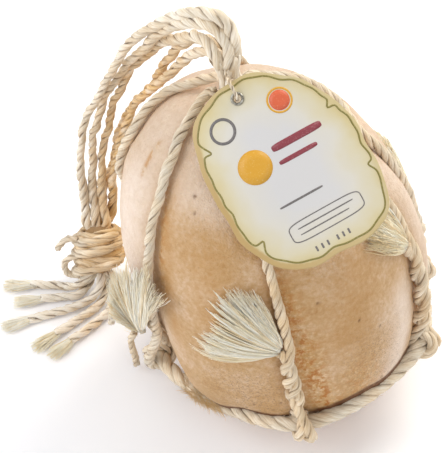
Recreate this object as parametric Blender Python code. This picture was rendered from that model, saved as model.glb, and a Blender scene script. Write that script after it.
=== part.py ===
"""A whole provolone in its rope net, standing on its blunt end, with its hanging bundle and its tag.

Metres, +Z up. The origin is the middle of the flat spot that the cheese stands on, the front faces -Y.
The cheese is a leaning melon form with six swellings between six ropes. The ropes run from a wrapped neck at
the top, hook round one thick ring rope near the foot, and come back up to end in tassels. From the neck five
strands arch over to the left and fall to a wrapped knot beside the cheese. Its five ends splay on the floor.
"""

import math

import bpy
import bmesh
import numpy as np
from mathutils import Vector

MM = 0.001

# ---- the cheese
CHEESE_HEIGHT = 0.2216
BELLY_RADIUS = 0.0862
BELLY_HEIGHT = 0.0955
FOOT_RADIUS = 0.036          # of the flat spot
SHOULDER_RISE = 2.62         # how late the upper half starts to close
SHOULDER_ROUND = 2.3         # how blunt the top is
FOOT_ROUND = 1.95
FOOT_OFFSET = 0.0048         # the foot's centre is right of the origin
LEAN = 0.0405                # sideways drift of the section centre from foot to top
LEAN_POWER = 1.12
GROOVE_DEPTH_TOP = 0.020     # as shares of the radius
GROOVE_DEPTH_FOOT = 0.082
GROOVE_SHARPNESS = 0.90      # under 1 gives a narrow groove between full lobes
CHEESE_SIDES = 44
CHEESE_RINGS = 21

# ---- the ropes
RING_DIAMETER = 0.0095
# The ring's centre line: its radius in millimetres at each hitch, and the share of the radius by which it
# runs straighter from there to the next hitch round.
RING_HITCHES = {
    "front": (82.5, 0.012),
    "right": (83.5, 0.0),
    "right_back": (85.0, 0.02),
    "back": (84.5, 0.05),
    "left_back": (86.0, 0.03),
    "left": (83.5, 0.088),
}
RING_HEIGHT = 0.0420
RING_TILT = 0.17             # rise towards +X, square to the leaning cheese
NET_DIAMETER = 0.0055
STRAND_DIAMETER = 0.0050
TOUCH = 0.0004               # gap kept between pieces that touch
SEAT = 0.0013                # clearance of a net rope over the faceted rind

# Each net rope: its azimuth in degrees where it leaves the neck, and then down the cheese, at these
# fractions of the way from top to foot; the last is its hitch on the ring. Its return runs beside it.
ROUTE_STEPS = (0.06, 0.15, 0.235, 0.35, 0.46, 0.55, 0.76)
NET_ROPES = {
    "front": (266, 270, 272, 273, 273.5, 273, 272),
    "right": (330, 335, 338, 341, 343, 342, 339),
    "right_back": (60, 46, 8, 7, 12, 16, 22),
    "back": (96, 92, 90, 88, 86, 84, 80),
    "left_back": (128, 150, 170, 170, 158, 148, 132),
    "left": (186, 214, 219, 218, 214, 209, 191),
}
DOWN_SHIFT = 0.0028          # how far the run down and the run back up lie to either side of the route
RETURN_SHIFT = 0.0034
RUN_SPREADS = {"right": 1.13, "right_back": 1.16, "back": 1.20, "left_back": 1.30}    # wider in a deep groove
RETURN_SIDES = {"right_back": -1}    # the others return on their clockwise side
GROOVE_OFFSETS = {"front": 6, "right": 1, "left": 5}     # degrees from a rope to the groove beside it
RETURN_TOPS = {              # height at which each doubled rope ends in its tassel
    "front": 0.114,
    "right": 0.138,
    "right_back": 0.112,
    "back": 0.118,
    "left_back": 0.108,
    "left": 0.074,
}

# ---- the neck, the strands that arch from it, and their knot
NECK_FOOT = Vector((-0.0362, 0.0014, 0.2248))
NECK_TOP = Vector((-0.0420, 0.0060, 0.2500))
NECK_RADII = (0.0086, 0.0096, 0.0090, 0.0084, 0.0083, 0.0084, 0.0081)
NECK_FLUTES = 5

KNOT_CENTRE = Vector((-0.1215, 0.0690, 0.0290))
KNOT_AXIS = Vector((0.02, -0.52, -0.85)).normalized()
KNOT_RADIUS = 0.0158
KNOT_LENGTH = 0.0285
KNOT_WRAPS = 5

STRAND_ROUTES = (            # millimetres, from the neck over the arch to the knot
    ((-36.3, 6, 254), (-37, 8, 265), (-44, 13, 275), (-57, 20, 273), (-71, 28, 262),
     (-85, 36.5, 244), (-96.5, 46, 222.5), (-107, 55.5, 196.5), (-116, 65, 169), (-124, 74, 140),
     (-129, 80, 109), (-131, 84, 78), (-130, 83, 56), (-128.5, 77.5, 43.5)),
    ((-40.5, 0.5, 254), (-42, 6, 263), (-50.5, 13, 268), (-64, 22, 262), (-77, 34.5, 244.5),
     (-88, 45, 224.5), (-98.5, 54.5, 202), (-107.5, 63, 177), (-115, 70.5, 150), (-121, 77, 124),
     (-124, 82, 94), (-124.5, 85, 66), (-123.5, 83, 53), (-122.5, 77.5, 43.5)),
    ((-46, 1.5, 253), (-50, 7.5, 258.5), (-58, 18, 257.5), (-71, 32, 241.5), (-83, 45, 223),
     (-92, 55.5, 202), (-100, 65, 179.5), (-107.5, 71, 155), (-113.5, 77.5, 128), (-117, 82, 98),
     (-118, 85, 68), (-117.5, 83, 54), (-116.5, 77.5, 43.5)),
    ((-47.3, 9.2, 252), (-56, 17.5, 245.5), (-66, 28, 229), (-76, 40, 206), (-86, 50.5, 184),
     (-95, 61, 162), (-102, 69.5, 138), (-107, 78, 110), (-110.5, 84, 78), (-112.5, 86.5, 55),
     (-114, 84.5, 43.5)),
    ((-41.5, 12, 252.5), (-53, 22.5, 250), (-65, 33, 236), (-74, 45, 214), (-83, 57, 189),
     (-91, 67, 165), (-100, 77, 138), (-108, 85, 108), (-114, 91, 78), (-120, 91, 55),
     (-121.5, 85.5, 43.5)),
)

END_DIAMETER = 0.0046
END_ROUTES = (               # millimetres, from the knot's underside along the floor
    ((-130, 58, 14.6), (-134, 58, 8.8), (-141, 60.5, 3.3), (-152, 62, 2.8), (-165, 62.5, 2.8)),
    ((-125.6, 63.2, 11), (-129, 59.5, 5.4), (-136, 53.5, 2.8), (-147, 52, 2.8), (-158, 50.5, 2.8)),
    ((-120, 57, 14.4), (-122, 51.5, 9.5), (-129, 47, 4.6), (-142, 41.5, 2.8), (-165, 33, 2.8)),
    ((-116.4, 63, 11), (-116.8, 56.5, 5.6), (-121, 46, 2.8), (-131.5, 35.5, 2.8), (-148, 21, 2.8)),
    ((-111.6, 58, 13.6), (-111, 51.5, 8), (-113.5, 43, 2.8), (-123, 30.5, 2.8), (-138, 15.5, 2.8)),
)
TUFT_LENGTH = 0.013
TUFT_SPREAD = 1.7            # width of a frayed tuft's tip, in end diameters

# ---- the tag
TAG_CENTRE = Vector((-0.0082, -0.0479, 0.2226))
TAG_UP = Vector((0.0, 0.731, 0.682)).normalized()
TAG_TURN = math.radians(29)
TAG_HALF_WIDTH = 0.0438
TAG_HALF_HEIGHT = 0.0546
TAG_CORNERS = (1.7, 3.0, 2.65, 4.6)   # fullness of the corners, round from the upper right
TAG_THICKNESS = 0.0008
TAG_BEND_RADIUS = 0.160
TAG_SIDES = 36
HOLE_PLACE = (-0.0065, 0.0452)
HOLE_RADIUS = 0.0031
EYELET_RADIUS = 0.0037
EYELET_BORE = 0.0021
STRING_DIAMETER = 0.0020

COLOURS = {
    "rind": (0.62, 0.42, 0.26, 1.0),
    "net rope": (0.68, 0.56, 0.40, 1.0),
    "golden rope": (0.60, 0.42, 0.22, 1.0),
    "frayed rope": (0.72, 0.62, 0.46, 1.0),
    "card": (0.78, 0.73, 0.62, 1.0),
    "eyelet metal": (0.55, 0.52, 0.46, 1.0),
}
ROUGHNESS = {"card": 0.55, "eyelet metal": 0.3}


def clear_scene():
    for thing in list(bpy.data.objects):
        bpy.data.objects.remove(thing)


def material(name):
    """The material of that name, made at its first use."""
    found = bpy.data.materials.get(name)
    if found:
        return found
    made = bpy.data.materials.new(name)
    made.use_nodes = True
    shader = made.node_tree.nodes["Principled BSDF"]
    shader.inputs["Base Color"].default_value = COLOURS[name]
    shader.inputs["Roughness"].default_value = ROUGHNESS.get(name, 0.8)
    shader.inputs["Metallic"].default_value = 1.0 if "metal" in name else 0.0
    return made


def add_mesh(name, vertices, faces, finish):
    """A smooth-shaded closed mesh object, its faces turned outwards."""
    mesh = bpy.data.meshes.new(name)
    mesh.from_pydata([tuple(v) for v in vertices], [], faces)
    shape = bmesh.new()
    shape.from_mesh(mesh)
    bmesh.ops.recalc_face_normals(shape, faces=shape.faces)
    shape.to_mesh(mesh)
    shape.free()
    mesh.shade_smooth()
    mesh.materials.append(material(finish))
    made = bpy.data.objects.new(name, mesh)
    bpy.context.scene.collection.objects.link(made)
    return made


def add_tube(name, points, diameter, finish, resolution=2, closed=False):
    """A rope as a curve with a round bevel and filled ends."""
    curve = bpy.data.curves.new(name, "CURVE")
    curve.dimensions = "3D"
    curve.bevel_depth = diameter / 2
    curve.bevel_resolution = resolution
    curve.use_fill_caps = not closed
    spline = curve.splines.new("POLY")
    spline.points.add(len(points) - 1)
    for knot, point in zip(spline.points, points):
        knot.co = (point[0], point[1], point[2], 1.0)
    spline.use_cyclic_u = closed
    curve.materials.append(material(finish))
    made = bpy.data.objects.new(name, curve)
    bpy.context.scene.collection.objects.link(made)
    return made


def smooth_route(points, spacing):
    """Points evenly spaced along the Catmull-Rom curve through the given ones."""
    knots = [Vector(p) for p in points]
    knots = [2 * knots[0] - knots[1]] + knots + [2 * knots[-1] - knots[-2]]
    fine = []
    for a, b, c, d in zip(knots, knots[1:], knots[2:], knots[3:]):
        for step in range(12):
            t = step / 12
            fine.append(0.5 * ((2 * b) + (c - a) * t + (2 * a - 5 * b + 4 * c - d) * t**2
                               + (3 * b - a - 3 * c + d) * t**3))
    fine.append(knots[-2])
    run = [0.0]
    for a, b in zip(fine, fine[1:]):
        run.append(run[-1] + (b - a).length)
    count = max(2, round(run[-1] / spacing))
    wanted = np.linspace(0.0, run[-1], count + 1)
    axes = [np.interp(wanted, run, [p[i] for p in fine]) for i in range(3)]
    return [Vector(p) for p in zip(*axes)]


# ---------------------------------------------------------------- the cheese

def height_at(step):
    """Height at a fraction of the way from the top (0) to the foot (1), closer together at both ends."""
    return CHEESE_HEIGHT * (1 + math.cos(math.pi * step)) / 2


def section_centre(z):
    share = min(max(z / CHEESE_HEIGHT, 0.0), 1.0)
    return FOOT_OFFSET - LEAN * share**LEAN_POWER


def plain_radius(z):
    """The turned profile: a blunt shoulder above the belly and a round foot with a flat spot below it."""
    if z >= BELLY_HEIGHT:
        rise = min((z - BELLY_HEIGHT) / (CHEESE_HEIGHT - BELLY_HEIGHT), 1.0)
        return BELLY_RADIUS * max(1 - rise**SHOULDER_RISE, 0.0) ** (1 / SHOULDER_ROUND)
    reach = (1 - (FOOT_RADIUS / BELLY_RADIUS) ** FOOT_ROUND) ** (1 / FOOT_ROUND)
    fall = reach * (BELLY_HEIGHT - z) / BELLY_HEIGHT
    return BELLY_RADIUS * (1 - fall**FOOT_ROUND) ** (1 / FOOT_ROUND)


def step_at(z):
    share = min(max(2 * z / CHEESE_HEIGHT - 1, -1.0), 1.0)
    return math.acos(share) / math.pi


def rope_azimuth(rope, step):
    """A net rope's azimuth in degrees at a fraction of the way down, eased between its named places."""
    return float(np.interp(step, ROUTE_STEPS, NET_ROPES[rope]))


def groove_azimuths(z):
    """Where the six grooves lie at a height: along the ropes' lower runs, and under them at the foot."""
    step = min(max(step_at(z), 0.35), 0.76)
    apart = min(1.0, (0.76 - step) / 0.16)
    grooves = [rope_azimuth(rope, step) + apart * GROOVE_OFFSETS.get(rope, 0) for rope in NET_ROPES]
    return sorted(azimuth % 360 for azimuth in grooves)


def swelling(azimuth, z):
    """0 in a groove and 1 on the crown of the lobe between two grooves."""
    grooves = groove_azimuths(z)
    after = next((i for i, g in enumerate(grooves) if g > azimuth % 360), 0)
    low, high = grooves[after - 1], grooves[after]
    phase = ((azimuth - low) % 360) / ((high - low) % 360)
    return math.sin(math.pi * min(max(phase, 0.0), 1.0)) ** GROOVE_SHARPNESS


def rind_radius(azimuth, z):
    down = 1 - z / CHEESE_HEIGHT
    depth = GROOVE_DEPTH_TOP + (GROOVE_DEPTH_FOOT - GROOVE_DEPTH_TOP) * down
    fade = min(1.0, down / 0.12) * min(1.0, (1 - down) / 0.10)
    return plain_radius(z) * (1 - depth * fade * (1 - swelling(azimuth, z)))


def rind_point(azimuth, z):
    radius = rind_radius(azimuth, z)
    angle = math.radians(azimuth)
    return Vector((section_centre(z) + radius * math.cos(angle), radius * math.sin(angle), z))


def rind_normal(azimuth, step):
    """Outward normal, from differences along and around the surface."""
    z_up, z_down = height_at(max(step - 0.01, 0.012)), height_at(step + 0.01)
    along = rind_point(azimuth, z_down) - rind_point(azimuth, z_up)
    z = height_at(step)
    around = rind_point(azimuth + 3, z) - rind_point(azimuth - 3, z)
    return along.cross(around).normalized()


def cheese_body():
    """Rings of points from the pole to the flat spot."""
    steps = np.linspace(0.0, 1.0, CHEESE_RINGS + 1)[1:]
    vertices = [rind_point(0, CHEESE_HEIGHT)]
    for step in steps:
        z = max(height_at(step), 0.0)
        for side in range(CHEESE_SIDES):
            vertices.append(rind_point(360 * side / CHEESE_SIDES, z))
    faces = [(0, 1 + side, 1 + (side + 1) % CHEESE_SIDES) for side in range(CHEESE_SIDES)]
    for ring in range(len(steps) - 1):
        start = 1 + ring * CHEESE_SIDES
        for side in range(CHEESE_SIDES):
            a, b = start + side, start + (side + 1) % CHEESE_SIDES
            faces.append((a, a + CHEESE_SIDES, b + CHEESE_SIDES, b))
    last = 1 + (len(steps) - 1) * CHEESE_SIDES
    faces.append(tuple(range(last, last + CHEESE_SIDES)))
    return add_mesh("cheese_body", vertices, faces, "rind")


# ---------------------------------------------------------------- the ring and the net

def ring_point(azimuth):
    """The ring's centre line: a tilted loop that runs straighter between its hitches."""
    azimuth %= 360
    hitches = sorted((NET_ROPES[rope][-1] % 360, rope) for rope in NET_ROPES)
    after = next((i for i, h in enumerate(hitches) if h[0] > azimuth), 0)
    (low, here), (high, there) = hitches[after - 1], hitches[after]
    phase = ((azimuth - low) % 360) / ((high - low) % 360)
    (start, slack), end = RING_HITCHES[here], RING_HITCHES[there][0]
    ease = (1 - math.cos(math.pi * phase)) / 2
    radius = MM * (start + (end - start) * ease) * (1 - slack * math.sin(math.pi * phase) ** 2)
    angle = math.radians(azimuth)
    x, y = radius * math.cos(angle), radius * math.sin(angle)
    return Vector((x, y, RING_HEIGHT + RING_TILT * x))


def ring_rope():
    count = 46
    points = [ring_point(360 * i / count) for i in range(count)]
    return add_tube("ring_rope", points, RING_DIAMETER, "net rope", resolution=1, closed=True)


def hook_points(rope, side):
    """Half a turn round the ring, from its outer side under it to its inner side, stepping sideways."""
    azimuth = NET_ROPES[rope][-1]
    centre = ring_point(azimuth)
    angle = math.radians(azimuth)
    outward = Vector((math.cos(angle), math.sin(angle), 0.0))
    sideways = Vector((-math.sin(angle), math.cos(angle), 0.0))
    reach = (RING_DIAMETER + NET_DIAMETER) / 2 + 2 * TOUCH
    points = []
    for turn in range(0, 181, 30):
        around = math.radians(turn)
        shift = side * (turn / 90 - 1) * (NET_DIAMETER / 2 + TOUCH)
        points.append(centre + reach * math.cos(around) * outward + shift * sideways
                      - reach * math.sin(around) * Vector((0, 0, 1)))
    return points


def over_rind(azimuth, step, lift):
    z = height_at(step)
    return rind_point(azimuth, z) + lift * rind_normal(azimuth, step)


def beside_route(rope, step, shift):
    """Azimuth at which a run lies to one side of its rope's route, by a shift square to the route."""
    azimuth, z = rope_azimuth(rope, step), height_at(step)
    radius = rind_radius(azimuth, z)
    drift = math.radians(rope_azimuth(rope, step + 0.02) - azimuth) * radius
    slant = math.hypot(1.0, drift / (z - height_at(step + 0.02)))
    return azimuth + math.degrees(shift * RUN_SPREADS.get(rope, 1.0) * slant / radius)


def net_rope(rope):
    """One rope: from the neck over the cheese, round the ring, and back up beside itself."""
    lift = NET_DIAMETER / 2 + SEAT
    first = math.radians(NET_ROPES[rope][0])
    away = Vector((math.cos(first), math.sin(first), 0.0))
    side = RETURN_SIDES.get(rope, 1)
    hitch = hook_points(rope, -side)
    points = [NECK_FOOT + 0.0136 * away + Vector((0, 0, 0.0062)),
              NECK_FOOT + 0.0180 * away + Vector((0, 0, 0.0048))]
    for step in (0.115, 0.15, 0.19, 0.235, 0.29, 0.35, 0.41, 0.46, 0.51, 0.56):
        points.append(over_rind(beside_route(rope, step, side * DOWN_SHIFT), step, lift))
    down = smooth_route(points + hitch[:1], 0.0120)[:-1]
    back_step = step_at(RETURN_TOPS[rope])
    back = []
    for step in np.linspace(max(back_step, 0.40), 0.64, 4):
        if step >= back_step - 1e-9:
            back.append(over_rind(beside_route(rope, step, -side * RETURN_SHIFT), step, lift))
    up = list(reversed(back))
    up = smooth_route(hitch[-1:] + up, 0.0120)[1:]
    return add_tube(f"net_rope_{rope}", down + hitch + up, NET_DIAMETER, "net rope", resolution=1)


# ---------------------------------------------------------------- tassels

def fan_solid(name, sheet, rows=5, columns=6):
    """A closed frayed fan. sheet(s, w, side) gives the upper (1) or lower (0) skin, s along, w across."""
    upper, lower = [], []
    for row in range(rows + 1):
        for column in range(columns + 1):
            s, w = row / rows, 2 * column / columns - 1
            upper.append(sheet(s, w, 1))
            lower.append(sheet(s, w, 0))
    width = columns + 1
    vertices = upper + lower
    shift = len(upper)
    faces = []
    for row in range(rows):
        for column in range(columns):
            a = row * width + column
            quad = (a, a + 1, a + 1 + width, a + width)
            faces.append(quad)
            faces.append(tuple(v + shift for v in reversed(quad)))
    edge = [(0, c) for c in range(columns)] + [(r, columns) for r in range(rows)]
    edge += [(rows, c) for c in range(columns, 0, -1)] + [(r, 0) for r in range(rows, 0, -1)]
    loop = [r * width + c for r, c in edge]
    for a, b in zip(loop, loop[1:] + loop[:1]):
        faces.append((b, a, a + shift, b + shift))
    return add_mesh(name, vertices, faces, "frayed rope")


def uneven(w, seed):
    """How far a fan's tip reaches at w, between about 0.85 and 1.1: a few fixed waves."""
    return 0.97 + 0.07 * math.sin(5.1 * w + seed) + 0.05 * math.sin(11.3 * w + 2.1 * seed)


# Each fan: its tips in turn from the right-hand edge to the left-hand one, as azimuth in degrees, height
# and lift off the rind in millimetres. Its root is the top of its doubled rope.
TASSEL_TIPS = {
    "front": ((262.5, 161, 2.5), (257.5, 159, 2.5), (252, 149, 2.5), (245.5, 136, 2.5), (241, 121, 2.5),
              (239.5, 109, 2.5), (240.5, 100, 2.5)),
    "right": ((335.5, 169, 2.5), (331, 173, 2.5), (325, 172, 2.5), (321, 167, 2.5), (321.5, 159, 2.5),
              (326, 152, 2.5)),
    "right_back": ((22, 152, 2.5), (30, 153, 2.5), (37, 147, 2.5), (41, 136, 2.5), (42, 124, 2.5)),
    "back": ((77, 160, 2.5), (70, 157, 2.5), (63, 149, 2.5), (58, 137, 2.5), (57, 124, 2.5), (59, 112, 2.5)),
    "left_back": ((146, 150, 2.5), (138, 152, 2.5), (130, 147, 2.5), (124, 137, 2.5), (122, 124, 2.5)),
    "left": ((222, 145, 8), (214, 143, 8.5), (204, 132, 9), (196, 115, 10), (191, 101, 14), (194, 92, 20),
             (198, 81, 15)),
}
TASSEL_ROOT_LIFTS = {"left": 0.0095}     # over the rope that it lies across; the others start on the rind


def eased(values, share):
    """Value at a share of the way along evenly spaced ones, on a smooth curve through them."""
    place = min(max(share, 0.0), 1.0) * (len(values) - 1)
    i = min(int(place), len(values) - 2)
    t = place - i
    a, b, c, d = (values[min(max(k, 0), len(values) - 1)] for k in (i - 1, i, i + 1, i + 2))
    return 0.5 * (2 * b + (c - a) * t + (2 * a - 5 * b + 4 * c - d) * t**2 + (3 * b - a - 3 * c + d) * t**3)


def tassel(rope):
    """A frayed end combed out from the top of its doubled rope, over the rind or standing off it."""
    root_z = RETURN_TOPS[rope] + 0.0030
    root_lift = TASSEL_ROOT_LIFTS.get(rope, SEAT)
    turn = RETURN_SIDES.get(rope, 1)
    root_azimuth = beside_route(rope, step_at(root_z), -turn * RETURN_SHIFT)
    azimuths = [root_azimuth + (tip[0] - root_azimuth + 180) % 360 - 180 for tip in TASSEL_TIPS[rope]]
    heights = [tip[1] * MM for tip in TASSEL_TIPS[rope]]
    lifts = [tip[2] * MM for tip in TASSEL_TIPS[rope]]

    def sheet(s, w, side):
        share = (w + 1) / 2
        reach = 0.05 + 0.95 * s * (0.97 + 0.05 * math.sin(17 * share + len(rope)))
        azimuth = root_azimuth + (eased(azimuths, share) - root_azimuth) * reach
        z = root_z + (eased(heights, share) - root_z) * reach
        azimuth -= math.degrees(0.0023 * turn * w * (1 - s) / rind_radius(azimuth, z))
        crown = 0.0046 * math.sqrt(max(1 - w * w, 0.0)) * (1 - 0.45 * s) + 0.0007
        lift = root_lift + (eased(lifts, share) - root_lift) * s**1.6 + side * crown
        return over_rind(azimuth, step_at(z), lift)

    return fan_solid(f"tassel_{rope}", sheet)


def loose_ends():
    """Two short bare ends that hang out of the left hitch."""
    routes = {
        "loose_end_long": ((-96.5, -11, 42), (-99, -9, 34), (-98.5, -8, 24), (-97, -6, 13), (-96.5, -4, 4)),
        "loose_end_short": ((-98, 2, 47), (-103, 7, 44), (-108, 12, 38), (-111, 14, 30), (-112, 14, 22)),
    }
    for name, route in routes.items():
        points = [Vector(p) * MM for p in route]
        add_tube(name, smooth_route(points, 0.008), 0.0045, "net rope", resolution=1)


# ---------------------------------------------------------------- the neck, the strands and the knot

def frame_along(axis, hint=Vector((1, 0, 0))):
    """Two unit vectors square to an axis and to each other, the first as near as can be to the hint."""
    axis = axis.normalized()
    first = (hint - hint.dot(axis) * axis).normalized()
    return first, axis.cross(first)


def turned_solid(name, foot, top, radii, finish, sides=18, flutes=0, depth=0.0, twist=0.0):
    """A closed solid round a leaning axis, with twisted flutes if asked."""
    first, second = frame_along(top - foot)
    vertices, faces = [], []
    for row, radius in enumerate(radii):
        share = row / (len(radii) - 1)
        centre = foot.lerp(top, share)
        for side in range(sides):
            angle = 2 * math.pi * side / sides
            wave = 1 + depth * math.cos(flutes * angle + twist * share)
            vertices.append(centre + radius * wave * (math.cos(angle) * first + math.sin(angle) * second))
    for row in range(len(radii) - 1):
        for side in range(sides):
            a, b = row * sides + side, row * sides + (side + 1) % sides
            faces.append((a, b, b + sides, a + sides))
    faces.append(tuple(range(sides)))
    faces.append(tuple(range(len(vertices) - sides, len(vertices))))
    return add_mesh(name, vertices, faces, finish)


def neck():
    return turned_solid("gather_neck", NECK_FOOT, NECK_TOP, NECK_RADII, "net rope",
                        sides=16, flutes=NECK_FLUTES, depth=0.06, twist=3.0)


def bundle_strands():
    for number, route in enumerate(STRAND_ROUTES, start=1):
        points = smooth_route([Vector(p) * MM for p in route], 0.0135)
        add_tube(f"bundle_strand_{number}", points, STRAND_DIAMETER, "golden rope")


def wrapped_knot():
    """The bundle's whipping: one ridge for each turn of rope."""
    half = KNOT_AXIS * KNOT_LENGTH / 2
    rows = 2 * KNOT_WRAPS + 1
    radii = []
    for row in range(rows):
        belly = 1 - 0.10 * abs(2 * row / (rows - 1) - 1) ** 2
        ridge = 1.0 if row % 2 else 0.90
        radii.append(KNOT_RADIUS * belly * ridge)
    return turned_solid("wrapped_knot", KNOT_CENTRE - half, KNOT_CENTRE + half, radii, "golden rope",
                        sides=16)


def knot_tails():
    """The whipping's own end and a slack turn, both out at its left."""
    routes = {
        "knot_tail": ((-137.5, 66, 42), (-141, 66, 41), (-144.5, 65, 38), (-147, 64, 34)),
        "knot_slack_turn": ((-137.5, 61, 31), (-141, 59.5, 29), (-142.5, 58, 24), (-140, 57, 19),
                            (-135.5, 56, 18)),
    }
    for name, route in routes.items():
        points = [Vector(p) * MM for p in route]
        add_tube(name, smooth_route(points, 0.005), 0.0042, "frayed rope", resolution=1)


def splayed_ends():
    """The five strand ends on the floor, each with its frayed tuft."""
    for number, route in enumerate(END_ROUTES, start=1):
        points = smooth_route([Vector(p) * MM for p in route], 0.011)
        add_tube(f"splayed_end_{number}", points, END_DIAMETER, "net rope")
        tuft(number, points[-1], (points[-1] - points[-2]).normalized())


def tuft(number, root, heading):
    side_way = heading.cross(Vector((0, 0, 1))).normalized()

    def sheet(s, w, side):
        width = END_DIAMETER * (0.42 + (TUFT_SPREAD - 0.42) / 2 * s)
        height = 0.0040 * (1 - 0.6 * s) * math.sqrt(max(1 - w * w, 0.0)) + 0.0008
        reach = TOUCH + TUFT_LENGTH * s * uneven(w, number)
        place = root + heading * reach + side_way * (width * w)
        place.z = 0.0004 + side * height
        return place

    return fan_solid(f"end_tuft_{number}", sheet, rows=2, columns=4)


# ---------------------------------------------------------------- the tag

def tag_frame():
    """The tag's right, up and front directions in its bent sheet's middle."""
    level = Vector((1, 0, 0))
    front = level.cross(TAG_UP).normalized()
    return level, TAG_UP, front


def tag_place(right, up, lift=0.0):
    """A point of the bent tag from its own coordinates, right and up in metres from its middle."""
    level, upward, front = tag_frame()
    across = right * math.cos(TAG_TURN) - up * math.sin(TAG_TURN)
    along = right * math.sin(TAG_TURN) + up * math.cos(TAG_TURN)
    bend = across / TAG_BEND_RADIUS
    radius = TAG_BEND_RADIUS + lift
    return (TAG_CENTRE + level * (radius * math.sin(bend)) + upward * along
            + front * (radius * math.cos(bend) - TAG_BEND_RADIUS))


def tag_edge(angle):
    """The card's outline: four quarters of differing fullness, with a slight waver."""
    quarter = int(angle // (math.pi / 2)) % 4
    power = TAG_CORNERS[quarter]
    c, s = abs(math.cos(angle)), abs(math.sin(angle))
    radius = ((c / TAG_HALF_WIDTH) ** power + (s / TAG_HALF_HEIGHT) ** power) ** (-1 / power)
    return radius * (1 + 0.008 * math.sin(9 * angle) + 0.006 * math.sin(14 * angle + 1))


def tag():
    rings = (0.0, 0.36, 0.70, 1.0)
    vertices = []
    for lift in (TAG_THICKNESS / 2, -TAG_THICKNESS / 2):
        vertices.append(tag_place(0, 0, lift))
        for share in rings[1:]:
            for side in range(TAG_SIDES):
                angle = 2 * math.pi * side / TAG_SIDES
                radius = share * tag_edge(angle)
                vertices.append(tag_place(radius * math.cos(angle), radius * math.sin(angle), lift))
    half = len(vertices) // 2
    faces = []
    for base, flip in ((0, False), (half, True)):
        sheet = []
        for side in range(TAG_SIDES):
            after = (side + 1) % TAG_SIDES
            sheet.append((base, base + 1 + side, base + 1 + after))
            for ring in range(len(rings) - 2):
                a = base + 1 + ring * TAG_SIDES
                sheet.append((a + side, a + TAG_SIDES + side, a + TAG_SIDES + after, a + after))
        faces += [tuple(reversed(f)) for f in sheet] if flip else sheet
    rim = 1 + (len(rings) - 2) * TAG_SIDES
    for side in range(TAG_SIDES):
        a, b = rim + side, rim + (side + 1) % TAG_SIDES
        faces.append((a, a + half, b + half, b))
    card = add_mesh("tag", vertices, faces, "card")
    cutter = turned_solid("hole_cutter", tag_place(*HOLE_PLACE, -0.004), tag_place(*HOLE_PLACE, 0.004),
                          (HOLE_RADIUS, HOLE_RADIUS), "card", sides=20)
    cutter.hide_render = True
    cutter.display_type = "WIRE"
    hole = card.modifiers.new("hole", "BOOLEAN")
    hole.operation = "DIFFERENCE"
    hole.object = cutter
    return card


def eyelet():
    """A rolled metal eyelet: a barrel through the hole with a flange on each face of the card."""
    centre = tag_place(*HOLE_PLACE)
    axis = (tag_place(*HOLE_PLACE, 0.001) - centre).normalized()
    first, second = frame_along(axis)
    gap = TAG_THICKNESS / 2 + TOUCH
    wall, crown = 0.0004, 0.0007
    section = ((EYELET_BORE, gap + crown * 0.5), (EYELET_BORE + 0.0005, gap + crown),
               (EYELET_RADIUS - 0.0004, gap + crown * 0.8), (EYELET_RADIUS, gap),
               (EYELET_BORE + wall, gap), (EYELET_BORE + wall, -gap),
               (EYELET_RADIUS - 0.0002, -gap), (EYELET_RADIUS - 0.0004, -gap - wall),
               (EYELET_BORE, -gap - wall))
    sides = 14
    vertices, faces = [], []
    for side in range(sides):
        angle = 2 * math.pi * side / sides
        spoke = math.cos(angle) * first + math.sin(angle) * second
        vertices += [centre + r * spoke + h * axis for r, h in section]
    size = len(section)
    for side in range(sides):
        a, b = side * size, ((side + 1) % sides) * size
        for i in range(size):
            j = (i + 1) % size
            faces.append((a + i, a + j, b + j, b + i))
    return add_mesh("eyelet", vertices, faces, "eyelet metal")


def tag_string():
    """A thin string from the neck through the eyelet and back to the neck behind the card."""
    level, upward, front = tag_frame()
    hole = tag_place(*HOLE_PLACE)
    points = [
        Vector((-0.0430, -0.0052, 0.2490)),
        hole + front * 0.0026 + upward * 0.0098 - level * 0.0050,
        hole + front * 0.0030 + upward * 0.0042 - level * 0.0020,
        hole + front * 0.0019 + upward * 0.0003,
        hole - front * 0.0022 - upward * 0.0003,
        hole - front * 0.0034 + upward * 0.0040,
        Vector((-0.0390, -0.0056, 0.2440)),
    ]
    return add_tube("tag_string", smooth_route(points, 0.0030), STRING_DIAMETER, "net rope", resolution=1)


def main():
    clear_scene()
    cheese_body()
    ring_rope()
    for rope in NET_ROPES:
        net_rope(rope)
    for rope in TASSEL_TIPS:
        tassel(rope)
    loose_ends()
    neck()
    bundle_strands()
    wrapped_knot()
    knot_tails()
    splayed_ends()
    tag()
    eyelet()
    tag_string()


main()
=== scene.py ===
"""A whole provolone tied in its rope net, with its hanging bundle of rope and its card tag.

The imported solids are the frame. Each class builds one sub-assembly over them: the cheese, the net with its ring,
the combed-out tassels, the neck, the bundle with its knot and splayed ends, and the card with its eyelet.
Metres, +Z up. The front faces -Y, and the top leans towards -X.
"""
from __future__ import annotations

import logging
import math
from dataclasses import dataclass, field
from enum import Enum
from typing import Any, Sequence

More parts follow.
